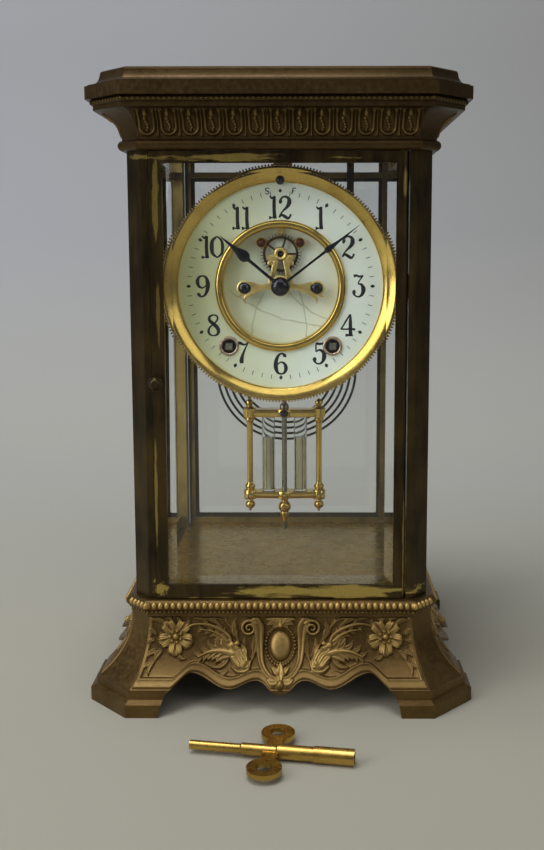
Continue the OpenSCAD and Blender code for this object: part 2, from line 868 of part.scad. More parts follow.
module hour_hand() color(blued) {
    bore = hour_pipe_r + seat;
    at_dial(centre_p, hour_hand_y, hour_hand_y + hand_t) hand_ring(bore + 1.5, bore);
    at_dial(centre_p, hour_hand_y, hour_hand_y + hand_t) rotate(-hour_at)
        hand_shank(hour_len, bore + 0.7, 17, 30, 2.9, 0.8);
}

module minute_hand() color(blued) {
    bore = centre_arbor_r + run;
    at_dial(centre_p, minute_hand_y, minute_hand_y + hand_t) hand_ring(bore + 2.3, bore);
    at_dial(centre_p, minute_hand_y, minute_hand_y + hand_t) rotate(-minute_at)
        hand_shank(minute_len, bore + 1, 25, 34, 1.5, 0.65);
}

module hand_nut() color(blued) turned(centre_p) difference() {
    intersection() {
        translate([0, minute_hand_y]) circle(nut_r);
        translate([0, minute_hand_y - nut_dome]) square([nut_r, nut_dome]);
    }
    translate([0, minute_hand_y - past]) square([centre_arbor_r + run, 2 * past]);
}

// Dial

module dial_holes(r) for (s = [-1, 1]) translate([s * wind_x, -wind_drop]) circle(r);

module regulator_hole() translate([0, regulator_up]) circle(regulator_r + air);

module dial_pan() color(brass) {
    at_dial(centre_p, pan_y - pan_t, pan_y) difference() {
        circle(dial_r + 2.7);
        circle(well_r + 2.5);
        dial_holes(4.4);
        regulator_hole();
    }
    for (p = feet) bar(p, pillar_r, pan_y, plate_y);
}

module chapter_ring() color(enamel) at_dial(centre_p, face_y, face_y + ring_t) difference() {
    circle(dial_r + 2.7);
    circle(well_r + 2.5);
    dial_holes(4.3);
    regulator_hole();
}

module bezel() color(gilt) difference() {
    turned(centre_p) {
        translate([dial_r + lip_w, face_y - lip_t])
            square([bezel_r - dial_r - lip_w, pan_y - face_y + lip_t]);
        translate([dial_r, face_y - lip_t]) square([lip_w + lip_lap, lip_t]);
        intersection() {
            translate([(dial_r + bezel_r) / 2, face_y - lip_t]) circle((bezel_r - dial_r) / 2);
            translate([dial_r, face_y - lip_t - bezel_r]) square([bezel_r - dial_r, bezel_r]);
        }
    }
    bar([0, regulator_up], regulator_r + air, face_y - bezel_r + dial_r - lip_t, pan_y + past);
}

module inner_ring() color(gilt) turned(centre_p) {
    translate([well_r, face_y]) square([ring_wall, disc_y - face_y]);
    intersection() {
        translate([well_r + ring_roll, face_y]) circle(ring_roll);
        translate([well_r, face_y - ring_roll]) square([2 * ring_roll, ring_roll]);
    }
}

module centre_disc() color(enamel) {
    at_dial(centre_p, disc_y, disc_y + disc_t) difference() {
        circle(well_r + 2.4);
        circle(hour_pipe_r + air);
        translate(escape_p) circle(2);
        for (s = [-1, 1]) {
            translate(escape_p + [s * stone_p[0], stone_p[1]]) circle(2.1);
            translate([s * bridge_x, -bridge_drop]) circle(bridge_post_r + run);
        }
    }
    for (a = [90, 215, 325]) bar(polar(well_r - 2, a), 1, disc_y + disc_t, plate_y);
}

module winding_grommets() color(brass) for (p = [time_p, strike_p]) turned(p) difference() {
    union() {
        translate([0, face_y]) square([4.2, ring_t]);
        translate([0, face_y - 0.7]) square([4.7, 0.7]);
    }
    translate([0, face_y - past]) square([3.5, ring_t + 2 * past]);
}

// Escapement

// A pierced bridge before the escape wheel, on two posts from the front plate
module bridge_slice() at_dial(centre_p, bridge_y, bridge_y + bridge_t) children();

module bridge_cut() at_dial(centre_p, bridge_y - past, bridge_y + bridge_t + past) children();

module bridge_arm() {
    post_p = [bridge_x, -bridge_drop];
    bridge_slice() polygon([[1.2, escape_up - 2], [3.4, escape_up - 5], [5, 2], [2.6, 3]]);
    bridge_slice() translate([4.2, escape_up - 2.4]) circle(1.9);
    bridge_slice() polygon([[4, 2], [10, 0.4], post_p + [-1, 2.8], post_p - [1, 2.8], [10, -2.2], [4, -2]]);
    bridge_slice() translate(post_p) circle(bridge_post_r + 1.3);
    bar(post_p, bridge_post_r, bridge_y + bridge_t / 2, plate_y);
}

module escape_bridge() color(gilt) difference() {
    union() {
        bridge_slice() circle(hour_pipe_r + 2.3);
        bridge_slice() translate(escape_p) circle(3.3);
        both_sides() bridge_arm();
    }
    bridge_cut() circle(hour_pipe_r + air);
    bridge_cut() translate(escape_p) circle(journal_r + run);
    bridge_cut() polygon([[-1, escape_up - 3.6], [1, escape_up - 3.6], [2.4, 3], [-2.4, 3]]);
}

module bridge_screws() color(blued) for (s = [-1, 1]) turned([s * bridge_x, -bridge_drop]) intersection() {
    translate([0, bridge_y + 2.4]) circle(4.2);
    translate([0, bridge_y - 1.8]) square([2.8, 1.8]);
}

// Two arms behind the dial that carry the stones
module anchor() color(steel) {
    at_dial(escape_p, disc_y + disc_t + 0.9, disc_y + disc_t + 2.4) {
        translate([0, anchor_up - escape_up]) circle(3);
        for (s = [-1, 1]) {
            translate([s * stone_p[0], stone_p[1]]) circle(1.9);
            polygon([[s * -1.5, anchor_up - escape_up + 1], [s * 2.6, anchor_up - escape_up + 1],
                [s * (stone_p[0] + 1.6), stone_p[1] + 1], [s * (stone_p[0] - 1.2), stone_p[1] + 1]]);
        }
    }
    bar(anchor_p, anchor_arbor_r, disc_y + disc_t + 1, rear_y + 3.2);
}

module pallet_stones() color(ruby) for (s = [-1, 1]) {
    bar(escape_p + [s * stone_p[0], stone_p[1]], stone_r, escape_y - 1, disc_y + disc_t + 0.9);
    bar(escape_p + [s * stone_p[0], stone_p[1]], 1.9, escape_y - 1.6, escape_y - 0.6);
}

// A wire arm on the anchor's arbor, with a fork either side of the pendulum rod
module crutch() color(steel) {
    at_dial(anchor_p, rear_y + 1.4, rear_y + 1.4 + crutch_t) difference() {
        union() {
            circle(2.2);
            translate([-0.8, -crutch_len]) square([1.6, crutch_len]);
            translate([-rod_r - 2, -crutch_len - 1]) square([2 * rod_r + 4, 2]);
        }
        circle(anchor_arbor_r + seat);
    }
    for (s = [-1, 1])
        bar(anchor_p + [s * (rod_r + run + fork_r), -crutch_len], fork_r, rear_y + 1.4 + crutch_t, pend_y + 2);
}

module regulator_arbor() color(blued) {
    p = [0, regulator_up];
    bar(p, regulator_r, face_y - 1.4, rear_y + 6);
    bar(p, 2.4, rear_y + 4, rear_y + 6);
}

// Plates

module plate_outline() union() {
    intersection() {
        circle(plate_r, $fn = 120);
        translate([-reach, -reach]) square([2 * reach, reach + plate_cut]);
    }
    translate([-ear_w / 2, 0]) square([ear_w, ear_h]);
}

module plate_windows() {
    for (s = [-1, 1]) translate([s * 24, 30]) circle(5.5);
    translate([0, -26]) circle(6);
    translate([36, 12]) circle(7);
}

module front_plate() color(brass) {
    at_dial(centre_p, plate_y, plate_y + plate_t) difference() {
        plate_outline();
        plate_windows();
        journals([second_p, third_p, pin_p, warn_p, fly_p, motion_p, time_p + click_p,
            strike_p + [-click_p[0], click_p[1]]]);
        circle(centre_arbor_r + run);
        for (p = [time_p, strike_p]) translate(p) circle(winding_r + run);
        translate(anchor_p) circle(anchor_arbor_r + run);
        translate(escape_p) circle(2);
        translate([0, regulator_up]) circle(regulator_r + run);
    }
    bar(cock_p, 1.8, plate_y + plate_t, train_y + 5.2);
    at_dial(centre_p, train_y + 5.2, train_y + 6.4) difference() {
        union() {
            translate(cock_p) circle(1.8);
            translate(escape_p) circle(1.8);
            polygon([escape_p + [0, 1.6], cock_p + [0, 1.6], cock_p - [0, 1.6], escape_p - [0, 1.6]]);
        }
        translate(escape_p) circle(journal_r + run);
    }
}

module back_plate() color(brass) {
    at_dial(centre_p, back_y, rear_y) difference() {
        plate_outline();
        plate_windows();
        journals([second_p, third_p, pin_p, warn_p, fly_p, centre_p]);
        for (p = [time_p, strike_p]) translate(p) circle(winding_r + run);
        translate(anchor_p) circle(anchor_arbor_r + run);
        translate([0, regulator_up]) circle(regulator_r + run);
        translate(hammer_p) circle(hammer_arbor_r + run);
    }
    for (p = pillars) bar(p, pillar_r, plate_y + plate_t, back_y);
    at_dial(hammer_p, rear_y, rear_y + boss_l) difference() {
        circle(boss_r);
        circle(hammer_arbor_r + run);
    }
}

// Straps from the dial to the front posts
module movement_brackets() color(brass) both_sides() translate([0, 0, dial_z - bracket_h / 2]) {
    translate([well_r + 6, pan_y, 0]) cube([bracket_x - well_r - 6, bracket_t, bracket_h]);
    translate([bracket_x - bracket_t, bracket_y0, 0])
        cube([bracket_t, pan_y + bracket_t - bracket_y0, bracket_h]);
}

// Pendulum

module suspension_cock() color(brass) translate([0, rear_y, dial_z]) difference() {
    translate([-6, 0, anchor_up + 2.5]) cube([12, pend_y - rear_y + spring_w / 2 + 2, spring_up - 2.5]);
    translate([-0.5 - spring_t, pend_y - rear_y - spring_w / 2 - air, anchor_up])
        cube([1 + 2 * spring_t, spring_w + 2 * air, 2 * spring_up]);
}

module suspension_spring() color(steel) translate([0, pend_y, pivot_z]) {
    translate([-spring_t / 2, -spring_w / 2, -spring_down])
        cube([spring_t, spring_w, spring_up + spring_down + air]);
    translate([-2, -spring_w / 2, spring_up + air]) cube([4, spring_w, chop_h]);
}

module pendulum_rod() color(steel) {
    translate([-2, pend_y - spring_w / 2, pivot_z - spring_down - chop_h]) cube([4, spring_w, chop_h]);
    translate([0, pend_y, rod_tip_z]) cylinder(r = rod_r, h = pivot_z - spring_down - chop_h - rod_tip_z);
    translate([0, pend_y, bob_top + bob_plate_h + 2.6]) sphere(2.6);
}

module bob_plate(z) translate([0, pend_y, z]) linear_extrude(bob_plate_h) difference() {
    union() {
        square([2 * column_x, bob_plate_d * 0.8], center = true);
        for (s = [-1, 1]) translate([s * column_x, 0]) circle(4);
        circle(bob_plate_d / 2);
    }
    circle(rod_r + run);
}

// A turned column with a ball finial above the bob and a longer one below it
module bob_column() rotate_extrude() union() {
    translate([0, bob_z]) square([column_r, bob_h + bob_plate_h]);
    for (z = [bob_z + 3.4, bob_top - 1.4]) translate([0, z]) intersection() {
        circle(2.4);
        translate([0, -2.4]) square([2.4, 4.8]);
    }
    translate([0, bob_top]) polygon([[0, 2], [3.2, 2], [1.4, 5], [1.8, 6.4], [0.7, 8.6], [0, 8.6]]);
    translate([0, bob_z]) polygon([[0, 1], [3.4, 1], [3.4, -1.4], [1.5, -2.6], [2.8, -4.6], [1.2, -6.6],
        [0.5, -8], [0, -8]]);
}

module bob_frame() color(gilt) {
    bob_plate(bob_z);
    bob_plate(bob_top);
    for (s = [-1, 1]) translate([s * column_x, pend_y, 0]) bob_column();
}

module vials() for (s = [-1, 1]) translate([s * vial_x, pend_y, bob_z + bob_plate_h]) children();

module mercury_vials() color(clear) vials() difference() {
    cylinder(r = vial_r, h = bob_h - bob_plate_h);
    translate([0, 0, vial_wall]) cylinder(r = vial_r - vial_wall, h = bob_h - bob_plate_h - 2 * vial_wall);
}

module mercury() color(steel) vials() translate([0, 0, vial_wall + seat])
    cylinder(r = vial_r - vial_wall - seat, h = fill * bob_h - bob_plate_h);

module rating_nut() color(gilt) translate([0, pend_y, nut_z]) difference() {
    rotate_extrude() polygon([[0, -nut_tail], [1.9, -nut_tail], [2.4, -3], [4, 0], [4, nut_h - 1.4],
        [2.6, nut_h], [2.6, bob_z - nut_z], [0, bob_z - nut_z]]);
    translate([0, 0, -nut_tail - past]) cylinder(r = rod_r + run, h = bob_z - nut_z + nut_tail + 2 * past);
}

// Gong and hammer

// Middle of the wire: straight up into its block, then a flat spiral winding in
function gong_point(t) = let (a = -360 * t, r = gong_r - gong_pitch * t) [r * cos(a), r * sin(a)];
gong_steps = ceil(gong_turns * gong_rings);
gong_path = concat([[gong_r, block_up], [gong_r, block_up - gong_wire]],
    [for (i = [0:gong_steps]) gong_point(i / gong_rings)]);
gong_gap = min([for (i = [0:gong_steps - gong_rings / 2], j = [i + gong_rings / 2:gong_steps])
    norm(gong_point(i / gong_rings) - gong_point(j / gong_rings))]) - gong_wire;
echo(str("least gap between the gong's turns: ", gong_gap, " mm"));

function gong_heading(i) =
    let (n = len(gong_path), d = gong_path[min(i + 1, n - 1)] - gong_path[max(i - 1, 0)]) d / norm(d);

module gong_coil() color(blued) {
    n = len(gong_path);
    s = gong_sides;
    points = [for (i = [0:n - 1], k = [0:s - 1])
        let (h = gong_heading(i), c = polar(gong_wire / 2, k * 360 / s),
            p = gong_path[i] + c[0] * [-h[1], h[0]])
        [p[0], gong_y + c[1], gong_z + p[1]]];
    sides = [for (i = [0:n - 2], k = [0:s - 1], f = [0, 1])
        let (a = i * s + k, b = i * s + (k + 1) % s) f == 0 ? [a, a + s, b] : [b, a + s, b + s]];
    ends = [for (k = [1:s - 2]) [0, k, k + 1]];
    tails = [for (k = [1:s - 2]) [(n - 1) * s, (n - 1) * s + k + 1, (n - 1) * s + k]];
    polyhedron(points, concat(sides, ends, tails));
}

// A bar hanging from the cornice behind the coil, and a block that brings its foot out to the wire
module gong_post() color(dark_brass) {
    foot_z = gong_z + block_up;
    front = gong_y + post_bar / 2;
    translate([post_x - post_bar / 2, front, foot_z]) cube([post_bar, post_bar, top_z - foot_z]);
    translate([post_x, front, foot_z]) cube([gong_r - gong_wire + block_w - post_x, post_bar, block_h]);
    translate([gong_r - gong_wire, gong_y - post_bar, foot_z]) cube([block_w, 2 * post_bar, block_h]);
}

module hammer() color(steel) {
    head = [0, gong_z - dial_z] + polar(gong_r + gong_wire / 2 + head_air, hammer_angle);
    far = head + polar(head_len, hammer_angle);
    mid = (head + far) / 2;
    side = polar(shank_half, hammer_angle);
    translate([head[0], gong_y, dial_z + head[1]]) rotate([0, 90 - hammer_angle, 0])
        cylinder(r = head_r, h = head_len);
    at_dial(centre_p, gong_y - shank_half, gong_y + shank_half) {
        polygon([hammer_p + side, mid + side, mid - side, hammer_p - side]);
        translate(hammer_p) circle(hammer_hub_r);
    }
    bar(hammer_p, hammer_arbor_r, back_y, gong_y + shank_half);
}

// Key: a thin barrel for the regulator, a thick one for winding, and a two-looped bow between
module key_profile() {
    mid_r = key_r - 1;
    polygon([[0, 0], [key_thin_r, 0], [key_thin_r, 0.31 * key_len], [mid_r, 0.32 * key_len],
        [mid_r, 0.53 * key_len], [key_r - 0.4, 0.54 * key_len], [key_r - 0.4, groove_at * key_len],
        [key_r, groove_at * key_len], [key_r, key_len], [0, key_len]]);
}

module key_barrel() difference() {
    rotate([0, 90, 0]) translate([0, 0, -key_len / 2]) rotate_extrude() key_profile();
    translate([key_len / 2 - socket_len + 6, 0, 0])
        cube([socket_len + 12, square_w + 2 * air, square_w + 2 * air], center = true);
    translate([-key_len / 2 - past, 0, 0]) rotate([0, 90, 0]) cylinder(r = regulator_r, h = socket_len);
}

module key_loop(s) linear_extrude(bow_t, center = true) difference() {
    union() {
        translate([0, s * bow_out]) circle(bow_r);
        translate([-bow_neck / 2, min(s * bow_out, s * key_thin_r)])
            square([bow_neck, bow_out - key_thin_r]);
    }
    translate([0, s * bow_out]) circle(bow_hole);
}

module winding_key() color(brass) translate([key_at[0], key_at[1], key_r]) rotate([0, 0, key_turn]) {
    key_barrel();
    for (s = [-1, 1]) key_loop(s);
}

base_casting();
floor_plate();
corner_posts();
side_rails();
side_glass();
cornice_casting();
top_cap();
case_screws();
hinge_pins();
front_door_frame();
front_glass();
front_latch();
rear_door_frame();
rear_glass();
rear_latch();
movement_brackets();
front_plate();
back_plate();
dial_pan();
chapter_ring();
bezel();
inner_ring();
centre_disc();
winding_grommets();
hour_hand();
minute_hand();
hand_nut();
cannon_pinion();
minute_wheel();
hour_wheel();
centre_wheel();
intermediate_wheel();
time_barrel();
strike_barrel();
time_winding_arbor();
strike_winding_arbor();
time_click();
strike_click();
third_wheel();
escape_wheel();
escape_bridge();
bridge_screws();
anchor();
pallet_stones();
crutch();
regulator_arbor();
pin_wheel();
warning_wheel();
strike_fly();
hammer();
suspension_cock();
suspension_spring();
pendulum_rod();
bob_frame();
mercury_vials();
mercury();
rating_nut();
gong_post();
gong_coil();
winding_key();
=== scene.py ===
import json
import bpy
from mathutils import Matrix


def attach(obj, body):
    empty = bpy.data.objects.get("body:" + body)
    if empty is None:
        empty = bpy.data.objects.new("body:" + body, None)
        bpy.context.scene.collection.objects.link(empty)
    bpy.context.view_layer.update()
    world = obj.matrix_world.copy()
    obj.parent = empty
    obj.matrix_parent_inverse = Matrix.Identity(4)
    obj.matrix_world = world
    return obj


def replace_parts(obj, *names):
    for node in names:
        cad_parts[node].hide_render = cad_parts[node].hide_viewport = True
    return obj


bl_info = {
    "name": "Crystal Regulator Clock",
    "version": (1, 0, 0),
    "blender": (4, 5, 0),
    "location": "View3D > Sidebar > Clock",
    "description": "Cast ornament, dial print, finishes and a studio for a four-glass mantel clock",
    "category": "Object",
}

from collections import namedtuple

import bmesh
import bpy
import numpy as np

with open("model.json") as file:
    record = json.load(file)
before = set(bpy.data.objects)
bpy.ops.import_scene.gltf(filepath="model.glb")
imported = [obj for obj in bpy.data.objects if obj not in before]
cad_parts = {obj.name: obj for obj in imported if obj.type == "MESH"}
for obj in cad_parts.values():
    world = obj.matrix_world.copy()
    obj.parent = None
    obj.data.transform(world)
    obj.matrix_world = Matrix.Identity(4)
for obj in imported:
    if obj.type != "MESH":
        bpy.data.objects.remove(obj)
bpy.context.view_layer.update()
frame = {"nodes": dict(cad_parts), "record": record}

MM = 0.001
PI = np.pi
UP = np.array([0, 0, 1.0])

# Welding of new meshes, in metres: points nearer than this become one, and shorter edges are dissolved
WELD = 2e-7
SLIVER = 1e-8

# Thinnest half widths of a pen stroke and of a carved ridge, in mm
THIN_STROKE, THIN_RIDGE = 0.03, 0.15

# Lengths are in mm unless a comment says metres, with Z up and the front towards -Y

# Plan of the case: half sizes across the posts, the cut of the corners, half lengths of the faces that this
# leaves, the distance and half length of the cut faces, what a face gains at each end per mm outwards, and
# how far the ornament of a face stops short of its end
HALF_X, HALF_Y = 73.7, 70.0
CORNER_CUT = 7.7
FACE_X, FACE_Y = HALF_X - CORNER_CUT, HALF_Y - CORNER_CUT
HALF_D = (HALF_X + FACE_Y) * np.sqrt(0.5)
FACE_D = CORNER_CUT * np.sqrt(0.5)
MITRE = np.tan(PI / 8)
MITRE_GAP = 0.12

# Cove of the base: height and offset of its neck, and its radius; the lowest and highest line of its
# ornament; the run of a foot; how far the scalloped edge is spread, and the ornament's gap from it
NECK_Z, NECK_OUT, COVE_R = 44.0, 1.5, 38.76
APRON_LOW, APRON_TOP = 12.35, 43.9
FOOT_RUN = 6.5
SCALLOP_SPREAD, SCALLOP_GAP = 7.2, 0.15
# Scallops from the middle to a foot: (share of the gap between the feet, height)
SCALLOPS = np.array([[0, 10.4], [0.2, 15.6], [0.42, 12.6], [0.76, 18.5], [0.96, 11], [1, 0]])
# Ornament of the apron: the depth that it is drawn at; how its border is counted from the ends; the border's
# width, height and steepness; the place, width and height of the border's lip
DRAWN_DEPTH = 2.5
END_SHARE, END_START = 0.85, 1.6
BORDER_W, BORDER_H, BORDER_STEEP = 3.9, 0.75, 4.2
LIP_AT, LIP_W, LIP_H = 3.3, 0.55, 0.35

# Flare of the cornice: height and offset of its foot, and its radius; the foot, height and depth of its
# ornament
FLARE_Z, FLARE_OUT, FLARE_R = 279.0, 2.0, 12.6
FRIEZE_LOW, FRIEZE_H, FRIEZE_DEPTH = 279.05, 12.35, 1.35
# Ovals: how far the row passes the face's end, the span of their middle line, their radius, the width of
# their rim and where they are cut off; the fillets between them by height, width and top
ROW_PAST = 1
OVAL_SPAN = (283.6, 292)
OVAL_R, OVAL_W, OVAL_TOP = 3.4, 0.8, 290.9
FILLET_H, FILLET_W, FILLET_TOP = 0.75, 0.5, 291
# Beads down each oval: (x, z, radius, height), each a little taller than wide
OVAL_BEADS = (
    (-0.2, 289.4, 1.25, 1.5), (-0.7, 287.5, 0.95, 1.1), (-0.3, 286.1, 0.9, 1.05),
    (0.3, 284.8, 0.85, 1.0), (0.5, 283.5, 0.8, 0.9), (0.1, 282.3, 0.75, 0.8),
)
BEAD_TALL = 1.05

# Rows of beads: name, the size that spaces them, offset, height, half sizes along, up and out, rings, sides,
# how far they stop short of the corners, and how much of their gilding shows
BEAD_ROWS = (
    ("collar_beads", "collar_pitch", 4.2, 50.1, (1.42, 1.9, 1.6), 6, 10, 0.0, 1.2),
    ("edge_beads", "edge_pitch", 3.0, 46.5, (0.92, 0.95, 0.95), 5, 8, 0.0, 0.6),
    ("cornice_beads", "cornice_pitch", 15.3, 295.0, (0.95, 1.0, 1.0), 5, 9, 0.3, 0.8),
)

# Dial: height of its centre, planes of the enamel ring and disc, and places from its centre
DIAL_Z = 208.0
RING_Y, DISC_Y = -52.0, -46.0
WINDING_X, WINDING_Z = 26.0, -30.0
PALLET_X, PALLET_Z = 9.57, 21.53
SCREW_X, SCREW_Z = 18.2, -1.0
ESCAPE_Z = 16.0
EYE_Z = 52.0

# Ribs of the bezel: radius of their centres, radius that their pitch is measured at, plane and half sizes
RIB_R, RIB_PITCH_R, RIB_Y = 57.45, 57.6, -54.0
RIB_HALF = (0.54, 1.1, 0.92)

# Hands: planes of their fronts, angles from twelve in degrees, and thickness
HOUR_Y, MINUTE_Y = -55.2, -56.8
HOUR_TURN, MINUTE_TURN = -50.2, 52.4
HAND_T = 0.6

# Print: how far figures and marks stand off the enamel and reach into it, and marks as (radius, half width)
FIGURE_RISE, MARK_RISE, PRINT_SINK = 0.06, 0.05, 0.04
MINUTE_MARK = ((44.6, 0.16), (45.7, 0.16), (46.8, 0.16))
HOUR_MARK = ((44.7, 0.05), (45.9, 0.85), (47.1, 0.05))
NOON_MARK = ((46.0, 0.05), (47.0, 0.8), (48.0, 0.05))
# Letters beside the regulator: strokes of (x, z, half width) from the dial's centre
REGULATOR_LETTERS = (
    [(-5.4, 47.8, 0.22), (-6.2, 48.3, 0.2), (-7.2, 47.9, 0.25), (-6.9, 47.0, 0.3), (-5.8, 46.6, 0.32),
     (-5.7, 45.7, 0.25), (-6.6, 45.3, 0.2), (-7.4, 45.8, 0.25)],
    [(6.3, 48.2, 0.22), (6.1, 46.8, 0.3), (5.7, 45.3, 0.28)],
    [(6.2, 48.2, 0.2), (7.0, 48.3, 0.22), (7.7, 48.0, 0.25)],
    [(6.1, 46.9, 0.15), (6.6, 46.9, 0.18), (7.1, 46.8, 0.2)],
)

# Bridge before the escape wheel: its front and back planes, and where its posts end
BRIDGE_Y, BRIDGE_BACK, POST_END = -51.0, -49.6, -38.6

# Pendulum bob: its plane, the distance of its columns from the rod, the heights of its plates and the easing
# of their edges
BOB_Y = 4.0
COLUMN_X = 19.5
PLATES = ((86.4, 90.2), (133.0, 137.2))
PLATE_EASE = 0.5

# Gong: turns of its coil, outer radius, step inwards per turn, plane, height of its centre and wire radius
GONG_TURNS, GONG_R, GONG_STEP = 4.75, 40.9, 3.3
GONG_Y, GONG_Z, GONG_WIRE = 25.0, 156.0, 0.72

# Paper sweep: half width, front edge, where it starts to turn up, radius of the turn, and top of the wall
PAPER_HALF, PAPER_FRONT, PAPER_TURN, PAPER_R, PAPER_TOP = 2200, -1400, 420, 500, 2400

# Light of the room, and the camera in metres and radians, fitted to the corners of the front opening
ROOM_TINT, ROOM_LIGHT = (0.95, 0.95, 0.97, 1), 0.12
CAMERA_AT = (0.01641, -0.55377, 0.22662)
CAMERA_TURN = (PI / 2 - 0.1258, 0.0006, 0.0058)
CAMERA_SHIFT = (-0.0419, -0.0587)
CAMERA_LENS, CAMERA_SENSOR, CAMERA_NEAR = 42.35, 36, 0.01


def tone(r, g, b):
    """A linear colour from 0-255 display values."""
    c = np.array([r, g, b]) / 255
    return tuple(np.where(c < 0.04045, c / 12.92, ((c + 0.055) / 1.055) ** 2.4))


# Points and faces


def grid_faces(rows, cols, wrap_cols=False):
    """Four-sided faces between neighbours on a grid of points, closed round its columns if asked."""
    a, b = np.meshgrid(np.arange(rows - 1), np.arange(cols if wrap_cols else cols - 1), indexing="ij")
    b1 = (b + 1) % cols
    corners = [a * cols + b, a * cols + b1, (a + 1) * cols + b1, (a + 1) * cols + b]
    return np.stack(corners, -1).reshape(-1, 4)


def merge(pieces):
    """One set of points and faces from several."""
    points, faces, base = [], [], 0
    for p, f in pieces:
        points.append(p)
        faces.append(np.asarray(f) + base)
        base += len(p)
    return np.vstack(points), np.vstack(faces)


def make(name, shape, body, material, angle, sheet=False, height=None):
    """A mesh object in metres from points in mm, welded, facing outward, riding on a body of the frame."""
    points, faces = shape
    mesh = bpy.data.meshes.new(name)
    n = len(faces)
    mesh.vertices.add(len(points))
    mesh.vertices.foreach_set("co", (points * MM).astype(np.float32).ravel())
    mesh.loops.add(n * 4)
    mesh.loops.foreach_set("vertex_index", faces.astype(np.int32).ravel())
    mesh.polygons.add(n)
    mesh.polygons.foreach_set("loop_start", np.arange(0, n * 4, 4, dtype=np.int32))
    mesh.update(calc_edges=True)
    if height is not None:
        layer = mesh.attributes.new("relief", "FLOAT", "POINT")
        layer.data.foreach_set("value", height.astype(np.float32).ravel())
    bm = bmesh.new()
    bm.from_mesh(mesh)
    bmesh.ops.remove_doubles(bm, verts=bm.verts, dist=WELD)
    bmesh.ops.dissolve_degenerate(bm, edges=bm.edges, dist=SLIVER)
    if not sheet:
        bmesh.ops.recalc_face_normals(bm, faces=bm.faces)
    bm.to_mesh(mesh)
    bm.free()
    mesh.shade_smooth()
    mesh.set_sharp_from_angle(angle=np.radians(angle))
    mesh.materials.append(material)
    obj = bpy.data.objects.new(name, mesh)
    bpy.context.scene.collection.objects.link(obj)
    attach(obj, body)
    return obj


def spline(keys, count):
    """Points along a smooth curve through the keys (Catmull-Rom), evenly stepped in its parameter."""
    k = np.asarray(keys, float)
    k = np.vstack([2 * k[0] - k[1], k, 2 * k[-1] - k[-2]])
    t = np.linspace(0, len(k) - 3 - 1e-9, count)
    i = t.astype(int)
    u = (t - i)[:, None]
    a, b, c, d = k[i], k[i + 1], k[i + 2], k[i + 3]
    return 0.5 * (2 * b + (c - a) * u + (2 * a - 5 * b + 4 * c - d) * u**2 + (3 * b - a - 3 * c + d) * u**3)


def revolve(profile, segments):
    """A profile of radius and height turned about Z, closed where it touches the axis."""
    p = np.asarray(profile, float)
    t = np.linspace(0, 2 * PI, segments, endpoint=False)
    pts = np.stack([p[:, :1] * np.cos(t), p[:, :1] * np.sin(t), p[:, 1:] + 0 * t], -1)
    return pts.reshape(-1, 3), grid_faces(len(p), segments, wrap_cols=True)


def turned(profile, segments, x=0.0, z=0.0):
    """A profile of radius and Y turned about an axis along Y, at a place from the dial's centre."""
    p, f = revolve(profile, segments)
    return np.stack([p[:, 0] + x, p[:, 2], p[:, 1] + DIAL_Z + z], -1), f


def turned_pair(profile, segments, x, z):
    """The same turned piece on both sides of the dial's centre."""
    return merge([turned(profile, segments, side * x, z) for side in (-1, 1)])


def tube(path, radius, sides):
    """A round bar along a path, its ends drawn to a point on the path."""
    p = np.asarray(path, float)
    r = np.concatenate([[0], np.full(len(p), radius), [0]])[:, None, None]
    d = np.gradient(p, axis=0)
    d /= np.linalg.norm(d, axis=1, keepdims=True)
    # sideways from a direction that the path never takes
    side = np.cross(d, np.array([0.12, 1.0, 0.07]))
    side /= np.linalg.norm(side, axis=1, keepdims=True)
    over = np.cross(side, d)
    p, side, over = (np.vstack([a[:1], a, a[-1:]]) for a in (p, side, over))
    t = np.linspace(0, 2 * PI, sides, endpoint=False)[None, :, None]
    pts = p[:, None] + r * (np.cos(t) * side[:, None] + np.sin(t) * over[:, None])
    return pts.reshape(-1, 3), grid_faces(len(p), sides, wrap_cols=True)


def stroke(keys, y_top, y_base, count=26, crown=0.0):
    """A pen stroke on the dial: a smooth line of keys (x, z, half width), raised from y_base to y_top."""
    k = spline(keys, count)
    p, w = k[:, :2], np.maximum(k[:, 2:], THIN_STROKE)
    d = np.gradient(p, axis=0)
    d /= np.linalg.norm(d, axis=1, keepdims=True) + 1e-9
    n = np.stack([-d[:, 1], d[:, 0]], -1)
    across = np.array([-1.0, -1.0, -0.6, 0.6, 1.0, 1.0])
    level = np.array([y_base, y_top, y_top - crown, y_top - crown, y_top, y_base])
    q = p[:, None] + (across[None, :, None] * w[:, None]) * n[:, None]
    pts = np.stack([q[..., 0], np.broadcast_to(level, q.shape[:2]), q[..., 1] + DIAL_Z], -1)
    first, last = (np.broadcast_to(end.mean(1, keepdims=True), end.shape) for end in (pts[:1], pts[-1:]))
    pts = np.concatenate([first, pts, last])
    return pts.reshape(-1, 3), grid_faces(len(pts), 6, wrap_cols=True)


def bead_rows(centres, right, up, out, radii, rings, sides):
    """Many small ellipsoids at once: a unit ball of few faces, stretched along each bead's own three axes."""
    a = np.linspace(0, PI, rings)
    t = np.linspace(0, 2 * PI, sides, endpoint=False)
    ring = np.sin(a)[:, None]
    ball = np.stack([ring * np.cos(t), ring * np.sin(t), np.cos(a)[:, None] + 0 * t], -1)
    ball = ball.reshape(-1, 3) * np.asarray(radii)
    axes = np.stack(np.broadcast_arrays(right, up, out), -2)
    axes = np.broadcast_to(axes, (len(centres), 3, 3))
    pts = centres[:, None] + np.einsum("bi,nij->nbj", ball, axes)
    f = grid_faces(rings, sides, wrap_cols=True)
    faces = f[None] + (np.arange(len(centres)) * len(ball))[:, None, None]
    return pts.reshape(-1, 3), faces.reshape(-1, 4)


# The eight faces of the case


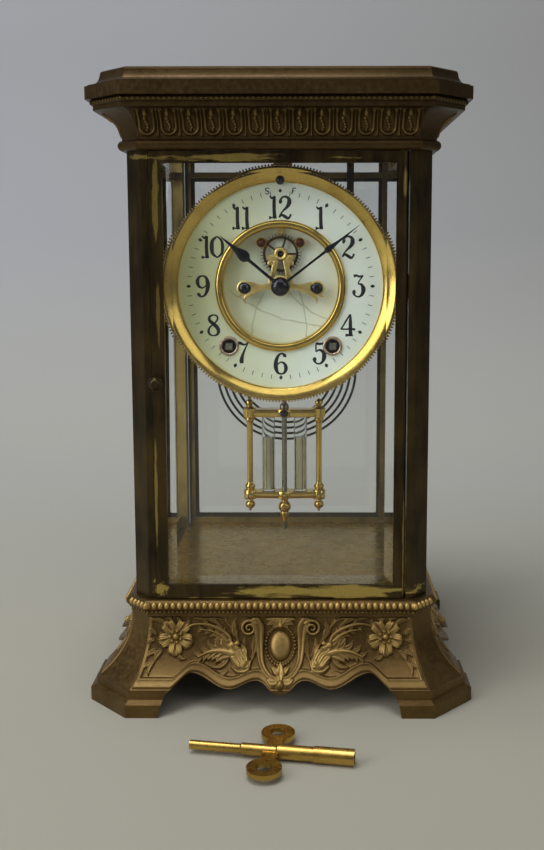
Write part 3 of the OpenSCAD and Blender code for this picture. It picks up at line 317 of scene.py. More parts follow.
Face = namedtuple("Face", "name out along distance half")


def case_faces():
    """Each face's name, outward direction, sideways direction, distance out and half length at no offset."""
    s = np.sqrt(0.5)
    return [
        Face("front", (0, -1, 0), (1, 0, 0), HALF_Y, FACE_X),
        Face("right", (1, 0, 0), (0, 1, 0), HALF_X, FACE_Y),
        Face("back", (0, 1, 0), (-1, 0, 0), HALF_Y, FACE_X),
        Face("left", (-1, 0, 0), (0, -1, 0), HALF_X, FACE_Y),
        Face("front_right", (s, -s, 0), (s, s, 0), HALF_D, FACE_D),
        Face("back_right", (s, s, 0), (-s, s, 0), HALF_D, FACE_D),
        Face("back_left", (-s, s, 0), (-s, -s, 0), HALF_D, FACE_D),
        Face("front_left", (-s, -s, 0), (s, -s, 0), HALF_D, FACE_D),
    ]


def on_face(face, lateral, offset, z):
    """Points on a face of the case from how far along it, how far out from the post and how high they are."""
    sideways = np.array(face.along, float) * lateral[..., None]
    outwards = np.array(face.out, float) * (face.distance + offset)[..., None]
    return sideways + outwards + UP * z[..., None]


def beads_round(faces, pitch, offset, z, radii, rings, sides, inset):
    """Rows of beads along faces of the case, evenly spaced, close to the pitch asked for."""
    rows = []
    for face in faces:
        half = face.half + MITRE * offset - inset
        n = max(int(round(2 * half / pitch)), 1)
        s = (np.arange(n) + 0.5) / n * 2 * half - half
        c = on_face(face, s, np.full(n, offset), np.full(n, z))
        along, out = np.array(face.along, float), np.array(face.out, float)
        rows.append(bead_rows(c, along, UP, out, radii, rings, sides))
    return merge(rows)


def cove_offset(z):
    """How far the base's cove stands out from the posts at a height: an arc that is upright at the neck."""
    return NECK_OUT + COVE_R - np.sqrt(COVE_R**2 - (NECK_Z - z) ** 2)


def flare_offset(z):
    """How far the cornice's frieze stands out from the posts at a height: an arc, upright at its foot."""
    return FLARE_OUT + FLARE_R - np.sqrt(FLARE_R**2 - (z - FLARE_Z) ** 2)


def apron_edge(x, gap):
    """Height of the scalloped edge between the feet: keys joined by half waves of a cosine."""
    keys = SCALLOPS
    u = np.clip(np.abs(x) / gap, 0, 1)
    i = np.clip(np.searchsorted(keys[:, 0], u, side="right") - 1, 0, len(keys) - 2)
    t = (u - keys[i, 0]) / (keys[i + 1, 0] - keys[i, 0])
    return keys[i, 1] + (keys[i + 1, 1] - keys[i, 1]) * (1 - np.cos(PI * t)) / 2


# Relief carving as height fields


def bell(x, width):
    """A bell curve, one at nought."""
    return np.exp(-((x / width) ** 2))


def sink_rim(f, u, v, rise, skin, sink, width):
    """Lifts a height field clear of the casting and sinks its rim under the skin by a bell curve."""
    rim = np.minimum(np.minimum(v, 1 - v) * rise, (1 - np.abs(u)) * FACE_X)
    return skin + f - sink * bell(rim, width) * (1 + f)

def ridge(field, x, z, keys, height, hollow=0.0, count=48):
    """Raises a rounded stroke: the highest of many discs strung along a smooth line of (x, z, half width)."""
    k = spline(keys, count)
    w = np.maximum(k[:, 2], THIN_RIDGE)
    low, high = (k[:, :2] - w[:, None]).min(0), (k[:, :2] + w[:, None]).max(0)
    near = np.nonzero((x >= low[0]) & (x <= high[0]) & (z >= low[1]) & (z <= high[1]))
    if not len(near[0]):
        return
    q = np.full(len(near[0]), 9.0)
    for px, pz, pw in zip(k[:, 0], k[:, 1], w):
        q = np.minimum(q, ((x[near] - px) ** 2 + (z[near] - pz) ** 2) / pw**2)
    h = height * np.sqrt(np.clip(1 - q, 0, 1)) - hollow * np.exp(-6 * q) * (q < 1)
    field[near] = np.maximum(field[near], h)


def leaf(field, x, z, base, tip, width, height, bend=0.0, lobes=0):
    """A leaf from base to tip: widest before its middle, a sunk midrib, an optionally lobed edge."""
    a, b = np.array(base, float), np.array(tip, float)
    side = np.array([-(b - a)[1], (b - a)[0]])
    t = np.linspace(0, 1, 15)[:, None]
    p = a + (b - a) * t + side * bend * np.sin(PI * t)
    wave = 1 + 0.22 * np.cos(2 * PI * lobes * t) * (lobes > 0)
    w = width * np.sin(PI * np.clip(t, 0.04, 0.97) ** 0.75) * wave
    ridge(field, x, z, np.hstack([p, w]), height, hollow=height * 0.3)


def dome(field, x, z, at, rx, rz, height):
    """A low ellipsoid standing on the ground."""
    q = ((x - at[0]) / rx) ** 2 + ((z - at[1]) / rz) ** 2
    np.maximum(field, height * np.sqrt(np.clip(1 - q, 0, 1)), out=field)


def flower(field, x, z, at, radius, height, petals=5, turn=0.3):
    """A five-petalled flower: wavy petals, each hollowed along its middle and rolled over at its edge, round
    a ring of beads."""
    dx, dz = x - at[0], z - at[1]
    r = np.hypot(dx, dz) / radius
    t = np.arctan2(dz, dx) + turn
    lobe = np.abs(np.cos(petals * t / 2))
    edge = 0.58 + 0.4 * lobe**0.5 + 0.035 * np.cos(3 * petals * t)
    q = np.clip(r / edge, 0, 1)
    inside = r < edge
    roll = np.sqrt(np.clip(1 - q**8, 0, 1)) * (0.42 + 0.58 * q**1.5)
    crease = 0.30 * bell(1 - lobe, 0.012) * np.clip(q * 1.6, 0, 1)
    vein = 0.10 * np.cos(9 * petals * t) * q * lobe
    petal = height * (roll * (0.62 + 0.38 * lobe**0.7) - crease + vein) * inside
    np.maximum(field, petal, out=field)
    dome(field, x, z, at, radius * 0.2, radius * 0.2, height * 1.1)
    for a in np.arange(7) * 2 * PI / 7:
        bead = at[0] + 0.29 * radius * np.cos(a), at[1] + 0.29 * radius * np.sin(a)
        dome(field, x, z, bead, radius * 0.105, radius * 0.105, height)


def acanthus(field, x, z, spine, lobes, width, height):
    """A curling leaf: a spine with overlapping lobes springing from both its sides, shrinking to the tip."""
    k = spline(spine, 60)
    d = np.gradient(k, axis=0)
    d /= np.linalg.norm(d, axis=1, keepdims=True)
    n = np.stack([-d[:, 1], d[:, 0]], -1)
    for t in np.linspace(0.08, 0.9, lobes):
        at, step = int(t * 59), width * (1.05 - 0.62 * t)
        for side in (-1, 1):
            base = k[at] + side * n[at] * 0.25 * step
            tip = base + d[at] * step * 1.25 + side * n[at] * step * 0.95
            leaf(field, x, z, base, tip, 0.46 * step, height * (1 - 0.25 * t), bend=-0.18 * side)
    w = np.linspace(0.36, 0.12, 60)[:, None] * width
    ridge(field, x, z, np.hstack([k, w]), height * 1.1, count=60)


def apron_field(x, z):
    """Height of the apron's ornament, the same on both sides of the middle: a jewel in a beaded border
    between scrolled arms, leaf sprays from two bulbs, stems over them to a flower in each corner, and a
    pendant."""
    x = np.abs(x)
    f = np.zeros_like(x)
    dome(f, x, z, (0, 29.8), 5.5, 7.0, 2.5)
    for k in range(17):
        a = -PI / 2 + PI * k / 16
        dome(f, x, z, (7.3 * np.cos(a), 29.8 + 8.7 * np.sin(a)), 0.85, 0.85, 1.3)
    # the mask of leaves above the jewel
    for bx, bz, tx, tz, w, h in ((0.4, 40.4, 4.8, 44.4, 1.9, 2.6), (0.8, 40.6, 7.6, 42.6, 1.7, 2.4),
                                 (1.0, 40.2, 7.0, 39.4, 1.6, 2.2), (0.6, 39.8, 3.8, 37.6, 1.4, 2.1),
                                 (0, 39.6, 0, 44.6, 1.7, 2.9)):
        leaf(f, x, z, (bx, bz), (tx, tz), w, h, bend=0.16)
    dome(f, x, z, (0, 39.4), 1.5, 1.7, 2.9)
    # the scrolled arms, hollowed along their length, broad at the top
    arm = [(1.4, 15.2, 1.0), (6.0, 17.2, 1.4), (9.2, 21.5, 1.7), (10.3, 27.5, 2.0), (10.6, 33.0, 2.5),
           (11.0, 38.0, 3.2), (12.4, 41.2, 2.9)]
    ridge(f, x, z, arm, 2.1, hollow=0.9, count=70)
    a = np.linspace(0.8 * PI, -2.7 * PI, 44)
    r = np.linspace(4.3, 0.6, 44)
    scroll = np.stack([15.8 + r * np.cos(a), 37.9 + r * np.sin(a), np.linspace(1.15, 0.6, 44)], -1)
    ridge(f, x, z, scroll, 1.8, count=110)
    leaf(f, x, z, (14.4, 23.0), (13.9, 35.0), 1.5, 1.1, bend=0.1, lobes=2)
    leaf(f, x, z, (16.6, 26.0), (17.6, 33.4), 1.1, 0.9, bend=-0.12)
    # the bulb, wrapped in turned-over leaves
    leaf(f, x, z, (16.6, 20.6), (24.8, 30.6), 4.6, 2.3, bend=-0.06)
    for bx, bz, tx, tz, w in ((16.8, 22.4, 21.4, 28.4, 1.5), (18.4, 20.8, 24.0, 27.0, 1.5),
                              (20.4, 20.0, 25.4, 24.6, 1.4), (17.0, 25.0, 20.2, 30.4, 1.2)):
        leaf(f, x, z, (bx, bz), (tx, tz), w, 2.9, bend=0.12)
    dome(f, x, z, (17.8, 21.6), 1.7, 1.7, 2.9)
    dome(f, x, z, (24.4, 29.8), 2.1, 2.0, 2.6)
    dome(f, x, z, (21.6, 30.6), 1.7, 1.5, 2.3)
    ridge(f, x, z, [(14.8, 22.6, 0.8), (16.4, 19.0, 1.0), (20.6, 18.4, 1.0), (24.0, 20.4, 0.7)], 1.6)
    # the leaf spray and the stem over it to the flower, each an acanthus
    acanthus(f, x, z, [(23.6, 25.8), (29.0, 27.0), (35.0, 26.8), (41.0, 24.4)], 5, 5.0, 1.9)
    leaf(f, x, z, (25.4, 24.2), (34.6, 20.2), 1.3, 1.3, bend=-0.14)
    stem = [(24.6, 31.0, 1.0), (26.2, 34.4, 1.1), (30.8, 37.6, 1.2), (37.0, 39.8, 1.1), (43.0, 39.9, 0.9),
            (48.6, 37.6, 0.7)]
    ridge(f, x, z, stem, 1.7)
    acanthus(f, x, z, [(26.6, 31.6), (30.4, 34.6), (35.0, 36.6), (40.6, 37.4)], 4, 3.4, 1.5)
    leaf(f, x, z, (29.4, 38.2), (40.0, 42.6), 1.3, 1.4, bend=0.14, lobes=2)
    leaf(f, x, z, (36.0, 40.2), (44.6, 42.8), 1.0, 1.2, bend=0.12)
    leaf(f, x, z, (21.4, 32.0), (22.4, 42.8), 1.7, 1.6, bend=-0.12, lobes=3)
    ridge(f, x, z, [(24.2, 34.8, 0.5), (25.4, 38.8, 0.6), (28.8, 42.0, 0.6), (33.4, 43.0, 0.4)], 1.0)
    leaf(f, x, z, (24.6, 38.6), (27.4, 43.2), 0.9, 1.0, bend=-0.2)
    # the flower, its sprigs and the chain of leaves below it
    flower(f, x, z, (52.4, 33.8), 9.6, 2.9)
    for bx, bz, tx, tz, w in ((57.6, 39.6, 65.0, 42.0, 1.6), (50.0, 39.6, 52.6, 43.4, 1.4),
                              (54.2, 41.4, 58.6, 43.6, 1.2), (59.2, 27.2, 62.4, 22.4, 1.7),
                              (61.6, 26.8, 66.6, 24.2, 1.4), (62.6, 22.8, 65.2, 17.0, 1.3),
                              (63.4, 21.6, 67.8, 19.6, 1.1), (48.4, 28.4, 44.0, 31.8, 1.4),
                              (62.4, 34.4, 66.4, 37.4, 1.3), (62.8, 32.0, 66.8, 30.2, 1.2),
                              (47.4, 38.6, 46.0, 42.8, 1.1), (51.0, 25.6, 47.0, 23.6, 1.1)):
        leaf(f, x, z, (bx, bz), (tx, tz), w, 1.5, bend=0.16)
    leaf(f, x, z, (26.0, 18.8), (34.6, 17.4), 1.0, 0.9, bend=-0.1)
    # the pendant
    leaf(f, x, z, (0, 21.4), (0, 12.4), 2.4, 2.9)
    leaf(f, x, z, (0.8, 16.4), (4.6, 20.0), 1.6, 2.4, bend=0.1)
    leaf(f, x, z, (1.0, 15.0), (6.8, 15.6), 1.6, 2.2, bend=-0.15)
    dome(f, x, z, (1.5, 17.2), 1.1, 1.1, 3.0)
    dome(f, x, z, (0, 13.7), 2.0, 1.9, 3.0)
    return f


def apron_sheet(face, depth, rows=150, cols=520):
    """The ornament of one face of the base: the cove raised along its own slope by the height field, with a
    plain raised border along the scallops and the ends, and its rim sunk under the casting's skin. Gives the
    points, the faces and how proud each point stands, from 0 to 1."""
    u, v = np.meshgrid(np.linspace(-1, 1, cols), np.linspace(0, 1, rows), indexing="ij")
    edge = apron_edge(u * (face.half + SCALLOP_SPREAD), face.half - FOOT_RUN)
    low = np.maximum(edge + SCALLOP_GAP, APRON_LOW)
    z = low + v * (APRON_TOP - low)
    off = cove_offset(z)
    half = face.half + MITRE * off - MITRE_GAP
    lateral = u * half
    span = face.half / FACE_X
    f = apron_field(lateral / span, z) * depth / DRAWN_DEPTH
    border = np.minimum(z - low, END_SHARE * (half - np.abs(lateral)) + END_START)
    band = BORDER_H / (1 + np.exp((border - BORDER_W) * BORDER_STEEP))
    f = np.maximum(f, band + LIP_H * bell(border - LIP_AT, LIP_W))
    f = sink_rim(f, u, v, rise=31, skin=0.1, sink=0.55, width=0.35)
    slope = (NECK_Z - z) / COVE_R
    flat = np.sqrt(1 - slope**2)
    p = on_face(face, lateral, off + f * flat, z + f * slope)
    return p.reshape(-1, 3), grid_faces(cols, rows), np.clip(f / (0.8 * depth), 0, 1)


def frieze_sheet(face, count, pitch, depth, rows=60, cols=760):
    """The ornament of one face of the frieze: upright ovals with raised rims, beads falling down their
    middles, and thin fillets between them. Gives the points, the faces and how proud each point stands."""
    u, v = np.meshgrid(np.linspace(-1, 1, cols), np.linspace(0, 1, rows), indexing="ij")
    z = FRIEZE_LOW + v * FRIEZE_H
    off = flare_offset(z)
    half = face.half + MITRE * off - MITRE_GAP
    x = u * half
    dx = (x / pitch + count / 2) % 1 * pitch - pitch / 2
    inside = np.abs(x) < count / 2 * pitch
    q = np.hypot(dx, z - np.clip(z, *OVAL_SPAN))
    f = bell(q - OVAL_R, OVAL_W) * (z < OVAL_TOP)
    for bx, bz, r, h in OVAL_BEADS:
        dome(f, dx, z, (bx, bz), r, r * BEAD_TALL, h)
    f = np.maximum(f, FILLET_H * bell(np.abs(dx) - pitch / 2, FILLET_W) * (z < FILLET_TOP))
    f = sink_rim(f * inside * depth, u, v, rise=12.4, skin=0.06, sink=0.45, width=0.25)
    slope = (z - FLARE_Z) / FLARE_R
    flat = np.sqrt(np.clip(1 - slope**2, 0, 1))
    p = on_face(face, x, off + f * flat, z - f * slope)
    return p.reshape(-1, 3), grid_faces(cols, rows), np.clip(f / 1.1, 0, 1)


# Materials


def node(tree, kind, values=None, **props):
    """A shader node with its settings, its inputs taken from sockets or plain numbers."""
    n = tree.nodes.new("ShaderNode" + kind)
    for key, value in props.items():
        setattr(n, key, value)
    for key, value in (values or {}).items():
        if isinstance(value, bpy.types.NodeSocket):
            tree.links.new(value, n.inputs[key])
        else:
            n.inputs[key].default_value = value
    return n


def new_material(name, **values):
    """A material with one Principled surface, made once; the prefix keeps it apart from the frame's own."""
    name = "clock_" + name
    old = bpy.data.materials.get(name)
    if old:
        return old, None, None
    m = bpy.data.materials.new(name)
    m.use_nodes = True
    t = m.node_tree
    t.nodes.clear()
    out = t.nodes.new("ShaderNodeOutputMaterial")
    p = node(t, "BsdfPrincipled", values)
    t.links.new(p.outputs[0], out.inputs[0])
    return m, t, p


def noise(tree, scale, detail=4.0, stretch=None, rough=0.55):
    """Cloudy noise over the piece's own coordinates, in features per metre."""
    at = node(tree, "TexCoord").outputs["Object"]
    if stretch:
        at = vector(tree, "MULTIPLY", at, stretch)
    values = {"Vector": at, "Scale": scale, "Detail": detail, "Roughness": rough}
    return node(tree, "TexNoise", values).outputs["Fac"]


def spread(tree, value, low, high, to_low=0.0, to_high=1.0):
    """A value moved from one range to another and held inside it."""
    return node(tree, "MapRange", {0: value, 1: low, 2: high, 3: to_low, 4: to_high}).outputs[0]


def blend(tree, fac, a, b):
    """A mix of two colours."""
    n = node(tree, "Mix", {0: fac}, data_type="RGBA")
    for key, value in ((6, a), (7, b)):
        if isinstance(value, bpy.types.NodeSocket):
            tree.links.new(value, n.inputs[key])
        else:
            n.inputs[key].default_value = (*value, 1)
    return n.outputs[2]


def math(tree, operation, a, b=0.0):
    """One sum on sockets or numbers."""
    return node(tree, "Math", {0: a, 1: b}, operation=operation).outputs[0]


def plus(tree, a, b, share):
    """A value plus a share of another."""
    return math(tree, "ADD", a, math(tree, "MULTIPLY", b, share))


def vector(tree, operation, a, b):
    """One sum on vectors."""
    return node(tree, "VectorMath", {0: a, 1: b}, operation=operation).outputs[0]


def apart(tree, at, centre, scale):
    """Distance from a centre, with each axis scaled."""
    d = vector(tree, "MULTIPLY", vector(tree, "SUBTRACT", at, centre), scale)
    return node(tree, "VectorMath", {0: d}, operation="LENGTH").outputs["Value"]


def bump(tree, surface, height, strength, distance):
    """Fine unevenness of a surface."""
    n = node(tree, "Bump", {"Height": height, "Strength": strength, "Distance": distance})
    tree.links.new(n.outputs[0], surface.inputs["Normal"])


def aged_cast(finish):
    """Bronzed casting: brown patina in the ground, gilt rubbed through on whatever stands proud."""
    m, t, p = new_material("aged_cast", Metallic=0.82)
    if t is None:
        return m
    relief = node(t, "Attribute", attribute_name="relief").outputs["Fac"]
    cloud = noise(t, 38, 6)
    fine = noise(t, 420, 5)
    worn = plus(t, math(t, "MULTIPLY", cloud, 0.75), relief, 0.36)
    worn = spread(t, plus(t, worn, fine, 0.35), 0.34, 0.92)
    base = blend(t, worn, finish.bronze_dark, finish.bronze_light)
    rub = spread(t, plus(t, relief, noise(t, 95, 4), 0.5), 1.0, 1.5)
    rubbed = blend(t, rub, base, finish.bronze_rubbed)
    # a dark film on the castings that sit high up, the cornice and the cap
    high = node(t, "SeparateXYZ", {0: node(t, "TexCoord").outputs["Object"]}).outputs[2]
    sooty = spread(t, plus(t, high, cloud, 0.03), 0.24, 0.30, 0.0, 0.6)
    t.links.new(blend(t, sooty, rubbed, finish.soot), p.inputs["Base Color"])
    t.links.new(spread(t, fine, 0.3, 0.7, 0.34, 0.52), p.inputs["Roughness"])
    bump(t, p, noise(t, 900, 3), 0.22, 0.0004)
    return m


def tarnished(finish):
    """Old lacquered brass: nearly black where the lacquer turned, bare and bright in scraped streaks."""
    m, t, p = new_material("tarnished_brass", Metallic=0.8)
    if t is None:
        return m
    at = node(t, "TexCoord").outputs["Object"]
    cloud = noise(t, 30, 6)
    tall = noise(t, 150, 8, (1.6, 1.0, 0.22), 0.65)
    wide = noise(t, 150, 8, (0.22, 1.0, 1.8), 0.65)
    torn = noise(t, 260, 8, None, 0.7)
    thin = spread(t, plus(t, cloud, tall, 0.6), 0.62, 1.0)
    base = blend(t, thin, finish.tarnish_dark, finish.tarnish_light)
    # streaks on the front, in metres: centre x and z, half width and half height, grain and strength
    front_y, reach_y = -0.071, 0.02
    streaks = (
        (0.0200, 0.0562, 0.0450, 0.0042, wide, 1.0),
        (-0.0280, 0.2700, 0.0420, 0.0016, wide, 0.9),
        (-0.0590, 0.2440, 0.0014, 0.0160, tall, 0.7),
        (-0.0597, 0.0580, 0.0034, 0.0036, torn, 0.9),
        (0.0614, 0.0800, 0.0007, 0.0260, tall, 0.8),
        (-0.0614, 0.1100, 0.0007, 0.0300, tall, 0.6),
        (-0.0585, 0.1950, 0.0009, 0.0140, tall, 0.5),
        (0.0600, 0.2580, 0.0009, 0.0080, tall, 0.5),
    )
    bare = 0.0
    for x, z, half_x, half_z, grain, strength in streaks:
        d = apart(t, at, (x, front_y, z), (1 / half_x, 1 / reach_y, 1 / half_z))
        d = plus(t, d, math(t, "SUBTRACT", grain, 0.5), 4.4)
        bare = math(t, "MAXIMUM", bare, spread(t, d, 1.05, 0.7, 0.0, strength))
    # the sides that face into the case at the back are lighter brass: partly brass that stayed bright under
    # the lacquer, partly painted light where the wall's light falls on them
    xyz = node(t, "SeparateXYZ", {0: at}).outputs
    inside = math(t, "MULTIPLY", spread(t, xyz[1], 0.030, 0.045), spread(t, xyz[1], 0.0662, 0.0648))
    inside = math(t, "MULTIPLY", inside, spread(t, math(t, "ABSOLUTE", xyz[0]), 0.0725, 0.0705))
    kept_and_lit = spread(t, plus(t, cloud, tall, 0.5), 0.5, 0.85, 0.35, 1.0)
    base = blend(t, math(t, "MULTIPLY", inside, kept_and_lit), base, finish.inner_brass)
    t.links.new(blend(t, bare, base, finish.bare_brass), p.inputs["Base Color"])
    t.links.new(spread(t, plus(t, tall, bare, -0.15), 0.2, 0.8, 0.22, 0.46), p.inputs["Roughness"])
    bump(t, p, noise(t, 500, 4), 0.12, 0.0004)
    return m


def polished(name, light, dark, rough=0.2, metallic=1.0, scale=45, coat=0.0):
    """Polished metal with a little uneven patina, lacquered if there is a coat."""
    m, t, p = new_material(name, **{"Metallic": metallic, "Coat Weight": coat, "Coat Roughness": 0.06})
    if t is None:
        return m
    cloud = noise(t, scale, 5)
    fine = noise(t, scale * 5, 4)
    t.links.new(blend(t, spread(t, cloud, 0.35, 0.75), light, dark), p.inputs["Base Color"])
    t.links.new(spread(t, fine, 0.3, 0.7, rough * 0.8, rough * 1.35), p.inputs["Roughness"])
    return m


def enamelled(finish):
    """White enamel gone a little greenish at random, glossy, with painted shade of the left post that makes
    it darker and yellower towards the left, and hair cracks low in the middle of the dial.
    """
    gloss = {"Roughness": 0.3, "Coat Weight": 0.35, "Coat Roughness": 0.08, "IOR": 1.5}
    m, t, p = new_material("enamel", **gloss)
    if t is None:
        return m
    at = node(t, "TexCoord").outputs["Object"]
    xyz = node(t, "SeparateXYZ", {0: at}).outputs
    # painted shade: the tint grows towards the left, where the left post shades the dial, and noise adds a
    # greenish cast at random
    tint_and_left_shade = plus(t, spread(t, xyz[0], 0.02, -0.05, 0.0, 0.75), noise(t, 24, 4), 0.5)
    base = blend(t, spread(t, tint_and_left_shade, 0.3, 1.0), finish.enamel, finish.enamel_tint)
    wander = node(t, "TexNoise", {"Vector": at, "Scale": 160.0, "Detail": 3.0}).outputs["Color"]
    bent = vector(t, "ADD", at, vector(t, "MULTIPLY", wander, (0.0026, 0.0, 0.0026)))
    # each crack is an arc of a wide circle, in metres: centre x and z, and radius
    arcs = (
        (0.0254, 0.1840, 0.0390),
        (-0.0398, 0.1867, 0.0540),
        (0.0261, 0.2690, 0.0800),
        (0.0491, 0.2471, 0.0600),
    )
    cracks = 0.0
    for x, z, radius in arcs:
        d = apart(t, bent, (x, DISC_Y * MM, z), (1.0, 0.0, 1.0))
        line = spread(t, math(t, "ABSOLUTE", math(t, "SUBTRACT", d, radius)), 0.00012, 0.0005, 0.55, 0.0)
        cracks = math(t, "MAXIMUM", cracks, line)
    low = spread(t, xyz[2], 0.2075, 0.2040)
    deep = spread(t, xyz[1], -0.0480, -0.0470)
    cracks = math(t, "MULTIPLY", cracks, math(t, "MULTIPLY", low, deep))
    t.links.new(blend(t, cracks, base, finish.crack), p.inputs["Base Color"])
    return m


def clear_glass(finish):
    """Clear plate glass that lets the lamps through to what it covers."""
    m, t, p = new_material("clear_glass", **{"Roughness": 0.0, "IOR": 1.45, "Transmission Weight": 1.0})
    if t is None:
        return m
    p.inputs["Base Color"].default_value = (*finish.glass, 1)
    out = t.nodes["Material Output"]
    pass_through = node(t, "BsdfTransparent", {0: (*finish.glass, 1)})
    shadow = node(t, "LightPath").outputs["Is Shadow Ray"]
    mix = node(t, "MixShader", {0: shadow, 1: p.outputs[0], 2: pass_through.outputs[0]})
    t.links.new(mix.outputs[0], out.inputs[0])
    return m


def slot_materials():
    """The finish for each material slot of the record."""
    f = bpy.context.scene.clock_finish
    return {
        "bronze": aged_cast(f),
        "dark_brass": tarnished(f),
        "brass": polished("worn_brass", f.brass, f.brass_dark, 0.26),
        "gilt": polished("gilt_brass", f.gilt, f.gilt_dark, 0.17),
        "steel": polished("steel", f.steel, f.steel_dark, 0.26),
        "blued_steel": polished("blued_steel", f.blued, f.blued_dark, 0.2, coat=0.9),
        "enamel": enamelled(f),
        "glass": clear_glass(f),
        "mercury": polished("mercury", f.mercury, f.mercury_dark, 0.13),
        "ruby": polished("pallet_copper", f.copper, f.copper_dark, 0.2, coat=0.5),
    }


# Dial figures: for each digit its strokes of (x, z, half width) in a box one unit high, and its width

DIGITS = {
    "0": ([
        [(0.30, 0.97, 0.03), (0.10, 0.78, 0.075), (0.06, 0.50, 0.095), (0.10, 0.22, 0.075),
         (0.30, 0.03, 0.03)],
        [(0.30, 0.97, 0.03), (0.50, 0.78, 0.055), (0.54, 0.50, 0.07), (0.50, 0.22, 0.055),
         (0.30, 0.03, 0.03)],
    ], 0.62),
    "1": ([
        [(0.27, 0.99, 0.05), (0.25, 0.75, 0.075), (0.25, 0.40, 0.075), (0.27, 0.10, 0.08),
         (0.30, 0.01, 0.06)],
        [(0.27, 0.96, 0.05), (0.16, 0.90, 0.05), (0.05, 0.99, 0.03)],
        [(0.02, 0.05, 0.06), (0.07, 0.05, 0.07), (0.14, 0.05, 0.03), (0.26, 0.06, 0.04),
         (0.36, 0.03, 0.03)],
    ], 0.40),
    "2": ([
        [(0.16, 0.70, 0.075), (0.12, 0.74, 0.09), (0.13, 0.86, 0.045), (0.28, 0.97, 0.045),
         (0.46, 0.90, 0.07), (0.50, 0.72, 0.10), (0.42, 0.54, 0.075), (0.24, 0.36, 0.04),
         (0.10, 0.18, 0.03), (0.05, 0.06, 0.03)],
        [(0.05, 0.06, 0.03), (0.17, 0.17, 0.05), (0.30, 0.10, 0.07), (0.44, 0.02, 0.06),
         (0.53, 0.10, 0.04), (0.56, 0.20, 0.05)],
    ], 0.62),
    "3": ([
        [(0.08, 0.94, 0.07), (0.20, 0.98, 0.05), (0.34, 0.93, 0.045), (0.50, 0.98, 0.03)],
        [(0.50, 0.97, 0.03), (0.36, 0.78, 0.03), (0.28, 0.62, 0.03), (0.42, 0.58, 0.055),
         (0.52, 0.38, 0.10), (0.46, 0.14, 0.07), (0.30, 0.03, 0.04), (0.13, 0.10, 0.04),
         (0.10, 0.24, 0.09), (0.17, 0.27, 0.07)],
    ], 0.60),
    "4": ([
        [(0.42, 0.98, 0.03), (0.26, 0.72, 0.04), (0.12, 0.48, 0.035), (0.02, 0.33, 0.03)],
        [(0.0, 0.33, 0.035), (0.25, 0.32, 0.035), (0.45, 0.34, 0.045), (0.66, 0.30, 0.05)],
        [(0.44, 0.99, 0.035), (0.44, 0.70, 0.07), (0.44, 0.35, 0.08), (0.45, 0.10, 0.08),
         (0.48, 0.01, 0.05)],
        [(0.22, 0.05, 0.06), (0.30, 0.05, 0.06), (0.42, 0.05, 0.03), (0.56, 0.04, 0.04)],
    ], 0.66),
    "5": ([
        [(0.14, 0.97, 0.05), (0.26, 0.93, 0.055), (0.40, 0.94, 0.05), (0.50, 1.0, 0.03)],
        [(0.14, 0.97, 0.03), (0.13, 0.78, 0.035), (0.13, 0.58, 0.03)],
        [(0.13, 0.57, 0.03), (0.28, 0.66, 0.045), (0.46, 0.56, 0.08), (0.50, 0.34, 0.10),
         (0.42, 0.12, 0.06), (0.26, 0.03, 0.04), (0.10, 0.10, 0.04), (0.07, 0.23, 0.09),
         (0.14, 0.27, 0.07)],
    ], 0.58),
    "6": ([
        [(0.46, 0.80, 0.07), (0.47, 0.87, 0.08), (0.36, 0.96, 0.04), (0.20, 0.88, 0.055),
         (0.09, 0.64, 0.085), (0.07, 0.36, 0.095), (0.15, 0.11, 0.06), (0.30, 0.03, 0.035)],
        [(0.30, 0.03, 0.035), (0.46, 0.10, 0.055), (0.53, 0.30, 0.085), (0.46, 0.50, 0.06),
         (0.30, 0.57, 0.035), (0.14, 0.46, 0.03)],
    ], 0.60),
    "7": ([
        [(0.04, 0.80, 0.03), (0.08, 0.94, 0.07), (0.20, 0.97, 0.07), (0.34, 0.90, 0.05),
         (0.46, 0.92, 0.035), (0.56, 1.0, 0.03)],
        [(0.55, 0.98, 0.03), (0.42, 0.70, 0.04), (0.31, 0.42, 0.065), (0.26, 0.20, 0.095),
         (0.27, 0.05, 0.08)],
    ], 0.58),
    "8": ([
        [(0.30, 0.97, 0.03), (0.13, 0.88, 0.055), (0.12, 0.72, 0.07), (0.28, 0.57, 0.08),
         (0.46, 0.40, 0.09), (0.52, 0.22, 0.075), (0.44, 0.07, 0.05), (0.30, 0.03, 0.03)],
        [(0.30, 0.97, 0.03), (0.46, 0.90, 0.04), (0.47, 0.74, 0.04), (0.32, 0.57, 0.03),
         (0.13, 0.40, 0.04), (0.07, 0.22, 0.06), (0.15, 0.07, 0.045), (0.30, 0.03, 0.03)],
    ], 0.60),
    "9": ([
        [(0.14, 0.20, 0.07), (0.13, 0.13, 0.08), (0.24, 0.04, 0.04), (0.40, 0.12, 0.055),
         (0.51, 0.36, 0.085), (0.53, 0.64, 0.095), (0.45, 0.89, 0.06), (0.30, 0.97, 0.035)],
        [(0.30, 0.97, 0.035), (0.14, 0.90, 0.055), (0.07, 0.70, 0.085), (0.14, 0.50, 0.06),
         (0.30, 0.43, 0.035), (0.46, 0.54, 0.03)],
    ], 0.60),
}


def figure(text, x, z, height, y):
    """A number on the dial, its digits set side by side about a middle point."""
    widths = [DIGITS[c][1] * height for c in text]
    gap = 0.02 * height
    left = x - (sum(widths) + gap * (len(text) - 1)) / 2
    parts = []
    for c, w in zip(text, widths):
        for keys in DIGITS[c][0]:
            k = np.array(keys) * height
            k[:, 0] += left
            k[:, 1] += z - height / 2
            parts.append(stroke(k, y - FIGURE_RISE, y + PRINT_SINK))
        left += w + gap
    return merge(parts)


# What a user can change


